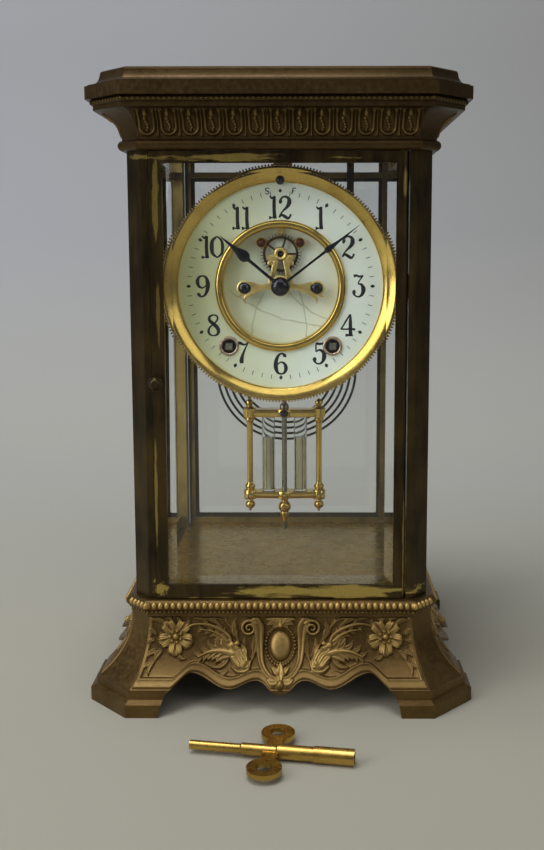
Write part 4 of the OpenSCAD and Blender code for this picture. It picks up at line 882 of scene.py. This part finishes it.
def length(name, description, default):
    """A length that a user can set, in metres."""
    return bpy.props.FloatProperty(
        name=name, description=description, default=default, subtype="DISTANCE", unit="LENGTH", min=0.0
    )


def colour(name, description, default):
    """A colour that a user can set, in linear values."""
    return bpy.props.FloatVectorProperty(
        name=name, description=description, default=default, subtype="COLOR", min=0.0, max=1.0
    )


class ClockSizes(bpy.types.PropertyGroup):
    """Sizes of the ornament and print in metres, and the power of the main lamp."""

    apron_relief: length("Apron relief", "Height of the ornament on the base", 0.0025)
    collar_pitch: length("Collar bead pitch", "Spacing of the large beads under the glass", 0.00315)
    edge_pitch: length("Edge bead pitch", "Spacing of the small beads under the collar", 0.0021)
    frieze_pitch: length("Frieze pitch", "Spacing of the ovals on the cornice", 0.0104)
    cornice_pitch: length("Cornice bead pitch", "Spacing of the beads under the shelf", 0.0024)
    milling_pitch: length("Bezel milling pitch", "Spacing of the ribs on the bezel's rim", 0.0016)
    figure_height: length("Figure height", "Height of the hour figures", 0.0112)
    figure_radius: length("Figure radius", "Distance of the hour figures from the centre", 0.0389)
    key_light: bpy.props.FloatProperty(
        name="Key light", description="Power of the main lamp in watts", default=8.0, min=0.0, unit="POWER"
    )


class ClockFinish(bpy.types.PropertyGroup):
    """Colours of the finishes."""

    bronze_dark: colour("Bronze, dark", "Patina in the hollows of the castings", (0.080, 0.043, 0.012))
    bronze_light: colour("Bronze, light", "Plain face of the castings", (0.25, 0.160, 0.054))
    bronze_rubbed: colour("Bronze, rubbed", "High points of the castings", (0.60, 0.41, 0.14))
    soot: colour("Soot", "Dark film on the cornice", (0.030, 0.018, 0.006))
    tarnish_dark: colour("Tarnish, dark", "Darkened lacquer on posts and doors", (0.026, 0.018, 0.009))
    tarnish_light: colour("Tarnish, light", "Thin lacquer on posts and doors", (0.092, 0.060, 0.019))
    bare_brass: colour("Bare brass", "Scraped streaks on the doors", (0.50, 0.37, 0.10))
    # brass inside the case, lightened with painted light on the back frame's inner faces
    inner_brass: colour("Inner brass", "Faces of the frame inside the case", (0.46, 0.34, 0.11))
    brass: colour("Brass", "Movement and fittings", (0.62, 0.40, 0.10))
    brass_dark: colour("Brass, dull", "Patina on movement and fittings", (0.36, 0.22, 0.055))
    gilt: colour("Gilt", "Bezel, pendulum and other gilt work", (0.84, 0.60, 0.165))
    gilt_dark: colour("Gilt, dull", "Patina on the gilt work", (0.58, 0.39, 0.085))
    bridge: colour("Bridge brass", "Bridge before the escape wheel", (0.86, 0.68, 0.27))
    bridge_dark: colour("Bridge brass, dull", "Patina on the bridge", (0.68, 0.51, 0.17))
    steel: colour("Steel", "Rods and arbors", (0.34, 0.32, 0.26))
    steel_dark: colour("Steel, dull", "Stain on rods and arbors", (0.20, 0.185, 0.145))
    blued: colour("Blued steel", "Hands, screws and gong", (0.020, 0.021, 0.034))
    blued_dark: colour("Blued steel, dark", "Darker heat colour", (0.010, 0.010, 0.014))
    enamel: colour("Enamel", "Dial", tone(238, 249, 239))
    # painted shade of the left post on the dial, darker and yellower, with a greenish cast at random
    enamel_tint: colour("Enamel, tinted", "Green cast in the dial", tone(204, 209, 148))
    crack: colour("Crack", "Stained hair cracks", tone(158, 164, 118))
    ink: colour("Ink", "Figures on the dial", (0.008, 0.009, 0.010))
    mercury: colour("Mercury", "Filling of the vials", (0.66, 0.60, 0.42))
    mercury_dark: colour("Mercury, dull", "Shade in the vials", (0.42, 0.37, 0.23))
    copper: colour("Copper", "Pallet heads", (0.12, 0.028, 0.010))
    copper_dark: colour("Copper, dull", "Shade on the pallet heads", (0.05, 0.012, 0.006))
    nickel: colour("Nickel", "Rings of the winding holes", (0.66, 0.52, 0.42))
    nickel_dark: colour("Nickel, dull", "Shade on the winding-hole rings", (0.42, 0.30, 0.22))
    floor_brass: colour("Floor brass", "Plate inside the case", (0.42, 0.27, 0.030))
    floor_dark: colour("Floor brass, dull", "Stain on the plate inside the case", (0.27, 0.165, 0.016))
    socket: colour("Winding square", "Arbors in the winding holes", (0.36, 0.34, 0.30))
    wheel: colour("Wheel bronze", "Escape wheel", (0.15, 0.092, 0.032))
    wheel_dark: colour("Wheel bronze, dull", "Stain on the escape wheel", (0.06, 0.036, 0.014))
    glass: colour("Glass", "Panes and vials", (0.97, 0.985, 0.98))
    # painted light on the paper sweep: lighter and bluer to the left and up the wall, darker and warmer to
    # the right, lighter far back
    floor_left: colour("Floor, left", "Paper under the clock, on its left", tone(178, 176, 163))
    floor_right: colour("Floor, right", "Paper under the clock, on its right", tone(176, 173, 158))
    floor_far: colour("Floor, far", "Paper behind the clock", tone(194, 194, 187))
    wall_left: colour("Wall, left", "Paper behind the clock, on its left", tone(184, 187, 194))
    wall_right: colour("Wall, right", "Paper behind the clock, on its right", tone(174, 175, 175))


def sizes_mm():
    """The lengths of the sizes group as plain numbers in millimetres."""
    s = bpy.context.scene.clock_sizes
    names = ("apron_relief", "collar_pitch", "edge_pitch", "frieze_pitch", "cornice_pitch", "milling_pitch",
             "figure_height", "figure_radius")
    return {k: getattr(s, k) / MM for k in names}


# Operators


class CLOCK_OT_finishes(bpy.types.Operator):
    """Give every CAD piece its finish"""

    bl_idname = "clock.finishes"
    bl_label = "Finish the CAD pieces"

    def execute(self, context):
        slots = slot_materials()
        f = context.scene.clock_finish
        dark = polished("winding_square", f.socket, np.array(f.socket) * 0.5, 0.35)
        special = {
            "floor_plate": polished("floor_brass", f.floor_brass, f.floor_dark, 0.24, 0.9, 30),
            "escape_wheel": polished("wheel_bronze", f.wheel, f.wheel_dark, 0.3, 1.0, 120),
            "time_winding_arbor": dark,
            "strike_winding_arbor": dark,
        }
        for part in frame["record"]["subparts"]:
            mesh = frame["nodes"][part["node"]].data
            mesh.materials.clear()
            mesh.materials.append(special.get(part["node"], slots[part["material_slot"]]))
        return {"FINISHED"}


class CLOCK_OT_apron(bpy.types.Operator):
    """Model the cast ornament on the four faces of the base"""

    bl_idname = "clock.apron"
    bl_label = "Apron ornament"

    def execute(self, context):
        cast = slot_materials()["bronze"]
        depth = sizes_mm()["apron_relief"]
        for face in case_faces()[:4]:
            p, f, h = apron_sheet(face, depth)
            make("apron_" + face.name, (p, f), "case", cast, sheet=True, angle=80, height=h)
        return {"FINISHED"}


class CLOCK_OT_beading(bpy.types.Operator):
    """Set the rows of beads round the base and the cornice"""

    bl_idname = "clock.beading"
    bl_label = "Beading"

    def execute(self, context):
        sizes = sizes_mm()
        cast = slot_materials()["bronze"]
        for name, pitch, offset, z, radii, rings, sides, inset, gilding in BEAD_ROWS:
            row = beads_round(case_faces(), sizes[pitch], offset, z, radii, rings, sides, inset)
            make(name, row, "case", cast, angle=60, height=np.full(len(row[0]), gilding))
        return {"FINISHED"}


class CLOCK_OT_frieze(bpy.types.Operator):
    """Model the ovals on the four faces of the frieze"""

    bl_idname = "clock.frieze"
    bl_label = "Frieze ornament"

    def execute(self, context):
        cast = slot_materials()["bronze"]
        pitch = sizes_mm()["frieze_pitch"]
        for face in case_faces()[:4]:
            row = 2 * (face.half + ROW_PAST)
            count = round(row / pitch)
            p, f, h = frieze_sheet(face, count, row / count, FRIEZE_DEPTH)
            make("frieze_" + face.name, (p, f), "case", cast, sheet=True, angle=80, height=h)
        return {"FINISHED"}


class CLOCK_OT_cap(bpy.types.Operator):
    """Model the stepped cap on the cornice"""

    bl_idname = "clock.cap"
    bl_label = "Cap"

    def execute(self, context):
        # the plan with its cut corners at each step of (offset from the posts, height), drawn in to the
        # middle at both ends
        cove = spline([(15.6, 303.2), (13.4, 304.0), (11.9, 305.6), (11.2, 307.6), (11.0, 308.8)], 14)
        steps = np.vstack([[(16.6, 302.5), (16.6, 303.2)], cove, [(10.6, 309.6), (9.8, 310.0)]])
        rows = []
        for off, z in steps:
            x, y = HALF_X + off, HALF_Y + off
            a, b = FACE_X + MITRE * off, FACE_Y + MITRE * off
            plan = np.array([(-a, -y), (a, -y), (x, -b), (x, b), (a, y), (-a, y), (-x, b), (-x, -b)])
            rows.append(np.column_stack([plan, np.full(8, z)]))
        rows = [rows[0] * [0, 0, 1]] + rows + [rows[-1] * [0, 0, 1]]
        shape = np.vstack(rows), grid_faces(len(rows), 8, wrap_cols=True)
        cast = slot_materials()["bronze"]
        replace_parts(make("stepped_cap", shape, "case", cast, angle=30), "top_cap")
        return {"FINISHED"}


class CLOCK_OT_bezel(bpy.types.Operator):
    """Turn the bezel with its ribbed rim, the ring in the dial and the winding-hole rings"""

    bl_idname = "clock.bezel"
    bl_label = "Bezel and dial rings"

    def execute(self, context):
        slots = slot_materials()
        gilt = slots["gilt"]
        # the face slopes in towards the dial, so that it stands highest at its ribbed rim
        face = spline([(51.15, -53.3), (51.6, -53.75), (52.6, -54.5), (53.8, -55.25), (55.0, -55.85),
                       (55.9, -56.2), (56.5, -56.25), (56.9, -55.9), (57.05, -55.2), (57.1, -54.4)], 44)
        inner, outer = [(51.0, -47.9), (51.0, -52.9)], [(57.1, -51.2), (57.0, -47.9), (51.0, -47.9)]
        rim = turned(np.vstack([inner, face, outer]), 192)
        n = int(2 * PI * RIB_PITCH_R / sizes_mm()["milling_pitch"])
        t = np.arange(n) / n * 2 * PI
        out = np.stack([np.cos(t), 0 * t, np.sin(t)], -1)
        along = np.stack([-np.sin(t), 0 * t, np.cos(t)], -1)
        centres = out * RIB_R + np.array([0, RIB_Y, DIAL_Z])
        depth = np.broadcast_to([0.0, 1.0, 0.0], centres.shape)
        ribs = bead_rows(centres, along, depth, out, RIB_HALF, 5, 6)
        bezel = make("ribbed_bezel", merge([rim, ribs]), "case", gilt, angle=50)
        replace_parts(bezel, "bezel")
        # a dark eye at the top, where the regulator's square is reached
        eye = [(0, -56.6), (0.9, -56.45), (1.6, -56.0), (2.1, -55.3), (2.3, -54.4), (2.3, -53.0), (0, -53.0)]
        blued = slots["blued_steel"]
        make("regulator_eye", turned(eye, 40, 0, EYE_Z), "case", blued, angle=50)
        lip = spline([(28.9, -53.0), (29.6, -53.75), (30.7, -54.0), (31.8, -53.75), (32.6, -53.0),
                      (32.75, -52.0)], 18)
        inner, outer = [(28.75, -46.1), (28.75, -52.4)], [(30.9, -52.0), (30.9, -46.1), (28.75, -46.1)]
        well = turned(np.vstack([inner, lip, outer]), 160)
        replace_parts(make("dial_well_ring", well, "case", gilt, angle=50), "inner_ring")
        f = context.scene.clock_finish
        nickel = polished("ring_nickel", f.nickel, f.nickel_dark, 0.2)
        lip = spline([(3.3, -52.2), (3.55, -52.75), (4.1, -53.05), (4.7, -52.85), (5.0, -52.3),
                      (5.05, -51.9)], 14)
        ring = np.vstack([[(3.3, -49.2)], lip, [(4.2, -51.9), (4.2, -49.2), (3.3, -49.2)]])
        rings = turned_pair(ring, 56, WINDING_X, WINDING_Z)
        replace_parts(make("winding_rings", rings, "case", nickel, angle=50), "winding_grommets")
        return {"FINISHED"}


def forged_hand(turn, y, keys, bore, rim):
    """A hand at an angle from twelve: a blade of keys (distance, half width) and a ring at its foot."""
    k = np.array(keys, float)
    a = np.radians(turn)
    line = np.hstack([k[:, :1] * np.array([np.sin(a), np.cos(a)]), k[:, 1:]])
    blade = stroke(line, y + 0.1, y + HAND_T, 110, crown=0.28)
    back = y + HAND_T
    ring = [(bore, back), (bore, y), (rim - 0.3, y), (rim, y + 0.25), (rim, back), (bore, back)]
    return merge([blade, turned(ring, 48)])


class CLOCK_OT_hands(bpy.types.Operator):
    """Forge the hands, the nut that holds them and the pallet heads"""

    bl_idname = "clock.hands"
    bl_label = "Hands and pallet heads"

    def execute(self, context):
        slots = slot_materials()
        blued = slots["blued_steel"]
        blade = [(3.4, 0.95), (8, 0.8), (14, 0.75), (19.4, 0.85), (20.5, 1.15), (21.3, 2.0), (22.3, 2.65),
                 (23.8, 2.8), (25.4, 2.45), (27.4, 1.75), (29.6, 1.15), (32.5, 0.75), (36, 0.45),
                 (38.9, 0.14)]
        hour = forged_hand(HOUR_TURN, HOUR_Y, blade, bore=2.95, rim=4.4)
        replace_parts(make("hour_hand_forged", hour, "hour", blued, angle=45), "hour_hand")
        blade = [(2.4, 0.8), (10, 0.62), (20, 0.58), (27.4, 0.7), (28.3, 1.1), (29.2, 1.5), (30.6, 1.58),
                 (32.2, 1.25), (34.4, 0.88), (37.5, 0.6), (42, 0.42), (49.3, 0.12)]
        minute = forged_hand(MINUTE_TURN, MINUTE_Y, blade, bore=1.26, rim=3.5)
        long_hand = make("minute_hand_forged", minute, "minute", blued, angle=45)
        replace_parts(long_hand, "minute_hand")
        a = np.linspace(0, PI / 2, 16)
        dome_line = np.stack([4.8 * np.sin(a), MINUTE_Y - 3.4 * np.cos(a)], -1)
        nut = turned(np.vstack([dome_line, [(4.8, -56.75), (1.3, -56.75), (1.3, -57.6), (0, -57.6)]]), 64)
        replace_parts(make("hand_nut_domed", nut, "minute", blued, angle=50), "hand_nut")
        a = np.linspace(0, PI * 0.62, 18)
        ball = np.stack([2.05 * np.sin(a), -49.5 - 1.9 * np.cos(a)], -1)
        head = np.vstack([ball, [(1.2, -48.3), (0.55, -48.0), (0.55, -43.7), (0, -43.7)]])
        heads = turned_pair(head, 40, PALLET_X, PALLET_Z)
        stones = make("pallet_heads", heads, "anchor", slots["ruby"], angle=50)
        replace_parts(stones, "pallet_stones")
        collar = [(1.85, -48.8), (1.85, -49.9), (2.1, -50.15), (2.45, -49.9), (2.6, -49.4), (2.6, -48.8),
                  (1.85, -48.8)]
        settings = turned_pair(collar, 40, PALLET_X, PALLET_Z)
        make("pallet_settings", settings, "anchor", slots["gilt"], angle=50)
        return {"FINISHED"}


class CLOCK_OT_bob(bpy.types.Operator):
    """Turn the columns and finials of the pendulum bob and shape its plates"""

    bl_idname = "clock.bob"
    bl_label = "Pendulum bob"

    def execute(self, context):
        slots = slot_materials()
        gilt = slots["gilt"]
        place = np.array([0, BOB_Y, 0])
        # a column with its finials, as (radius, height)
        keys = [(0, 78.2), (0.5, 78.4), (0.9, 79.2), (0.8, 79.7), (1.6, 80.1), (2.5, 81.0), (2.9, 82.3),
                (2.5, 83.6), (1.5, 84.3), (1.4, 84.8), (2.4, 85.1), (3.4, 85.6), (3.6, 86.3), (3.6, 90.4),
                (3.1, 91.0), (2.2, 91.4), (2.8, 92.1), (3.0, 92.9), (2.6, 93.8), (1.9, 94.4), (1.7, 95.4),
                (1.65, 112), (1.7, 129.0), (2.1, 130.0), (2.6, 130.8), (2.6, 131.6), (2.2, 132.2),
                (3.5, 132.7), (3.6, 137.4), (3.1, 138.0), (2.0, 138.5), (1.5, 139.3), (1.7, 140.0),
                (2.4, 140.7), (2.2, 141.6), (1.1, 142.4), (0.7, 143.0), (0, 143.2)]
        p, f = revolve(keys, 40)
        parts = [(p + np.array([side * COLUMN_X, BOB_Y, 0]), f) for side in (-1, 1)]
        # plates: a bar swelling to a hub, drawn as one closed outline, its edges eased
        t = np.linspace(0, 2 * PI, 120, endpoint=False)
        x = 21.5 * np.cos(t)
        bar = 4.3 * np.sqrt(np.clip(1 - (np.abs(x) / 23.4) ** 6, 0, 1))
        half = np.maximum(bar, 5.9 * bell(x, 6.0))
        outline = np.stack([x, np.sign(np.sin(t)) * half * np.abs(np.sin(t)) ** 0.3], -1)
        grow = np.array([0, 0.95, 1, 1, 0.95, 0])[:, None, None]
        for z0, z1 in PLATES:
            levels = np.array([z0, z0, z0 + PLATE_EASE, z1 - PLATE_EASE, z1, z1])[:, None, None]
            rows = np.concatenate([grow * outline, np.broadcast_to(levels, (len(levels), len(t), 1))], -1)
            parts.append((rows.reshape(-1, 3) + place, grid_faces(len(levels), len(t), wrap_cols=True)))
        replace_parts(make("bob_frame_turned", merge(parts), "pendulum", gilt, angle=40), "bob_frame")
        centre = np.array([[0, BOB_Y - 6.0, 135.4]])
        knob = bead_rows(centre, (1.0, 0, 0), (0, 0, 1.0), (0, -1.0, 0), (2.7, 2.1, 1.8), 16, 32)
        make("bob_knob", knob, "pendulum", slots["blued_steel"], angle=60)
        nut = [(1.5, 86.3), (2.5, 86.3), (2.8, 85.7), (2.2, 85.1), (1.8, 84.5), (1.9, 83.9), (2.8, 83.1),
               (3.4, 82.0), (3.6, 80.8), (3.3, 79.5), (2.6, 78.5), (2.1, 78.0), (2.4, 77.6), (2.5, 76.4),
               (2.1, 75.0), (1.7, 73.4), (1.5, 72.6), (1.5, 86.3)]
        p, f = revolve(nut, 48)
        rating = make("rating_nut_turned", (p + place, f), "rating_nut", gilt, angle=40)
        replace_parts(rating, "rating_nut")
        return {"FINISHED"}


class CLOCK_OT_dial_print(bpy.types.Operator):
    """Print the hour figures, the minute marks and the regulator marks"""

    bl_idname = "clock.dial_print"
    bl_label = "Dial print"

    def execute(self, context):
        s = sizes_mm()
        f = context.scene.clock_finish
        ink = polished("dial_ink", f.ink, np.array(f.ink) * 1.8, 0.4, 0.0)
        parts = []
        for hour in range(1, 13):
            a = hour * PI / 6
            x, z = s["figure_radius"] * np.sin(a), s["figure_radius"] * np.cos(a)
            parts.append(figure(str(hour), x, z, s["figure_height"], RING_Y))
        top, base = RING_Y - MARK_RISE, RING_Y + PRINT_SINK
        for minute in range(1, 60):
            a = minute * PI / 30
            mark = MINUTE_MARK if minute % 5 else HOUR_MARK
            parts.append(stroke([(r * np.sin(a), r * np.cos(a), w) for r, w in mark], top, base, 9))
        parts.append(stroke([(0, r, w) for r, w in NOON_MARK], top, base, 9))
        for keys in REGULATOR_LETTERS:
            parts.append(stroke(keys, top, base, 18))
        make("dial_print", merge(parts), "case", ink, angle=30)
        return {"FINISHED"}


class CLOCK_OT_bridge(bpy.types.Operator):
    """Model the scrolled bridge before the escape wheel"""

    bl_idname = "clock.bridge"
    bl_label = "Escapement bridge"

    def execute(self, context):
        f = context.scene.clock_finish
        brass = polished("bridge_brass", f.bridge, f.bridge_dark, 0.36)
        y, base = BRIDGE_Y, BRIDGE_BACK
        # a leg, two leaves at its top, an arm and two tails at the arm's end; the other side is the mirror
        scrolls = (
            [(1.9, 13.8, 1.0), (2.9, 10.5, 1.35), (3.6, 6.5, 1.25), (4.6, 2.6, 1.5), (4.2, 0.6, 1.3)],
            [(2.6, 13.6, 0.9), (4.3, 13.7, 1.9), (6.2, 14.4, 0.9), (6.9, 15.2, 0.25)],
            [(3.6, 11.6, 0.9), (5.4, 11.4, 1.1), (6.4, 10.2, 0.3)],
            [(3.2, 0.2, 2.0), (6.4, -0.1, 1.5), (9.4, -0.5, 1.5), (12.4, -0.9, 2.4), (14.6, -1.0, 3.2),
             (16.6, -1.0, 3.0)],
            [(14.4, -3.4, 0.9), (16.2, -4.4, 1.1), (17.6, -5.6, 0.9), (18.1, -7.2, 0.45), (18.0, -8.8, 0.1)],
            [(19.4, -4.0, 0.8), (20.4, -5.0, 0.5), (21.6, -5.3, 0.1)],
        )
        eye = [(2.2, base), (2.2, y), (2.6, y - 0.25), (3.3, y - 0.25), (3.75, y), (3.75, base), (2.2, base)]
        post = [(0, base), (2.1, base), (2.1, POST_END), (0, POST_END)]
        parts = [turned_pair(eye, 48, SCREW_X, SCREW_Z), turned_pair(post, 32, SCREW_X, SCREW_Z)]
        for side in (-1, 1):
            flip = np.array([side, 1, 1])
            parts += [stroke(np.array(keys) * flip, y, base, 30, crown=0.25) for keys in scrolls]
        hub = [(3.25, base), (3.25, y), (3.6, y - 0.25), (4.8, y - 0.25), (5.2, y), (5.2, base), (3.25, base)]
        parts.append(turned(hub, 64))
        boss = [(1.6, base), (1.6, y - 0.3), (2.0, y - 0.75), (2.6, y - 0.9), (3.2, y - 0.6), (3.5, y),
                (3.5, base), (1.6, base)]
        parts.append(turned(boss, 64, 0, ESCAPE_Z))
        # a tongue behind the wheel, from the ring's top
        parts.append(stroke([(0, 29.2, 1.3), (0, 27.2, 1.4), (0, 25.2, 1.0)], -47.4, -46.1, 12))
        bridge = make("escapement_bridge", merge(parts), "case", brass, angle=40)
        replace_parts(bridge, "escape_bridge")
        # painted shade: a dark blued ring sunk in the boss round the arbor, standing for the shade deep in
        # the hole
        pivot_hole_shade = [(0.62, base), (0.62, y + 0.3), (0.9, y), (1.2, y + 0.3), (1.65, y + 0.5), (1.65, base),
                 (0.62, base)]
        blued = slot_materials()["blued_steel"]
        make("escape_pivot_shade", turned(pivot_hole_shade, 40, 0, ESCAPE_Z), "case", blued, angle=50)
        return {"FINISHED"}


class CLOCK_OT_gong(bpy.types.Operator):
    """Wind the gong's coil"""

    bl_idname = "clock.gong"
    bl_label = "Gong coil"

    def execute(self, context):
        blued = slot_materials()["blued_steel"]
        t = np.linspace(0, GONG_TURNS, 620)
        r = GONG_R - GONG_STEP * t
        a = -2 * PI * t
        path = np.stack([r * np.cos(a), np.full_like(t, GONG_Y), GONG_Z + r * np.sin(a)], -1)
        coil = make("gong_spiral", tube(path, GONG_WIRE, 10), "case", blued, angle=60)
        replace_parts(coil, "gong_coil")
        return {"FINISHED"}


def paper(finish):
    """Matt paper, its colour drifting from left to right, from near to far and from the floor to the wall:
    painted light, lighter and bluer on the left and up the wall, darker and warmer on the right, lighter far
    back.
    """
    m, t, p = new_material("paper", Roughness=0.8)
    if t is None:
        return m
    xyz = node(t, "SeparateXYZ", {0: node(t, "TexCoord").outputs["Object"]}).outputs
    # painted light across the paper, lighter where the light from the left falls
    across = plus(t, xyz[0], noise(t, 1.6, 2), 0.25)
    floor = blend(t, spread(t, across, -0.15, 0.5), finish.floor_left, finish.floor_right)
    floor = blend(t, spread(t, xyz[1], 0.0, 0.4), floor, finish.floor_far)
    wall = blend(t, spread(t, across, -0.35, 0.55), finish.wall_left, finish.wall_right)
    t.links.new(blend(t, spread(t, xyz[2], 0.02, 0.25), floor, wall), p.inputs["Base Color"])
    return m


def area_lamp(name, at, aim, size, watts, tint):
    """A rectangular lamp at a place in metres, turned so that it shines at its aim."""
    data = bpy.data.lights.new(name, "AREA")
    data.shape = "RECTANGLE"
    data.energy, data.color = watts, tint
    data.size, data.size_y = size
    lamp = bpy.data.objects.new(name, data)
    lamp.location = at
    x, y, z = np.array(at) - np.array(aim)
    lamp.rotation_euler = (np.arctan2(np.hypot(x, y), z), 0, np.arctan2(x, -y))
    return lamp


class CLOCK_OT_studio(bpy.types.Operator):
    """Set the paper sweep, the lamps and the camera"""

    bl_idname = "clock.studio"
    bl_label = "Studio"

    def execute(self, context):
        scene = context.scene
        # a floor that turns up into a wall through a quarter circle
        a = np.linspace(0, PI / 2, 24)
        x = np.array([-PAPER_HALF, PAPER_HALF])
        y = np.concatenate([[PAPER_FRONT], PAPER_TURN + PAPER_R * np.sin(a), [PAPER_TURN + PAPER_R]])
        z = np.concatenate([[0], PAPER_R - PAPER_R * np.cos(a), [PAPER_TOP]])
        pts = np.stack(np.broadcast_arrays(x[None, :], y[:, None], z[:, None]), -1).reshape(-1, 3) * MM
        mesh = bpy.data.meshes.new("paper_sweep")
        mesh.from_pydata(pts.tolist(), [], grid_faces(len(y), 2).tolist())
        mesh.shade_smooth()
        mesh.materials.append(paper(scene.clock_finish))
        sweep = bpy.data.objects.new("paper_sweep", mesh)
        # place, aim and size in metres, watts and tint
        key = scene.clock_sizes.key_light
        lamps = [
            area_lamp("key_lamp", (-0.95, -0.7, 0.70), (0, 0, 0.18), (0.7, 1.3), key, (1.0, 0.985, 0.955)),
            area_lamp("fill_lamp", (0.9, -0.9, 0.7), (0, 0, 0.18), (0.7, 0.7), 1.6, (1.0, 0.97, 0.92)),
            area_lamp("ceiling_lamp", (0.0, -0.8, 1.35), (0, -0.05, 0.2), (1.2, 0.6), 3.0, (1.0, 0.98, 0.94)),
            area_lamp("wall_lamp", (-0.3, -0.2, 1.9), (-0.1, 0.75, 0.3), (0.8, 0.8), 13.0, (0.95, 0.97, 1.0)),
        ]
        world = bpy.data.worlds.new("studio")
        world.use_nodes = True
        background = world.node_tree.nodes["Background"]
        background.inputs[0].default_value = ROOM_TINT
        background.inputs[1].default_value = ROOM_LIGHT
        scene.world = world
        data = bpy.data.cameras.new("camera")
        data.lens, data.sensor_width = CAMERA_LENS, CAMERA_SENSOR
        data.shift_x, data.shift_y = CAMERA_SHIFT
        data.clip_start = CAMERA_NEAR
        camera = bpy.data.objects.new("camera", data)
        camera.location = CAMERA_AT
        camera.rotation_euler = CAMERA_TURN
        for obj in (sweep, *lamps, camera):
            scene.collection.objects.link(obj)
        scene.camera = camera
        scene.view_settings.view_transform = "Standard"
        return {"FINISHED"}


class CLOCK_PT_panel(bpy.types.Panel):
    """Steps that build the clock"""

    bl_idname = "CLOCK_PT_panel"
    bl_label = "Clock"
    bl_space_type = "VIEW_3D"
    bl_region_type = "UI"
    bl_category = "Clock"

    def draw(self, context):
        for operator in STEPS:
            self.layout.operator(operator.bl_idname)
        for group in (context.scene.clock_sizes, context.scene.clock_finish):
            box = self.layout.box()
            for key in group.__annotations__:
                box.prop(group, key)


STEPS = (
    CLOCK_OT_finishes,
    CLOCK_OT_apron,
    CLOCK_OT_beading,
    CLOCK_OT_frieze,
    CLOCK_OT_cap,
    CLOCK_OT_bezel,
    CLOCK_OT_hands,
    CLOCK_OT_bob,
    CLOCK_OT_dial_print,
    CLOCK_OT_bridge,
    CLOCK_OT_gong,
    CLOCK_OT_studio,
)
CLASSES = (ClockSizes, ClockFinish, *STEPS, CLOCK_PT_panel)


def register():
    for c in CLASSES:
        bpy.utils.register_class(c)
    bpy.types.Scene.clock_sizes = bpy.props.PointerProperty(type=ClockSizes)
    bpy.types.Scene.clock_finish = bpy.props.PointerProperty(type=ClockFinish)


def unregister():
    del bpy.types.Scene.clock_finish
    del bpy.types.Scene.clock_sizes
    for c in reversed(CLASSES):
        bpy.utils.unregister_class(c)


def main():
    register()
    for step in STEPS:
        group, name = step.bl_idname.split(".")
        getattr(getattr(bpy.ops, group), name)()


if __name__ == "__main__":
    main()
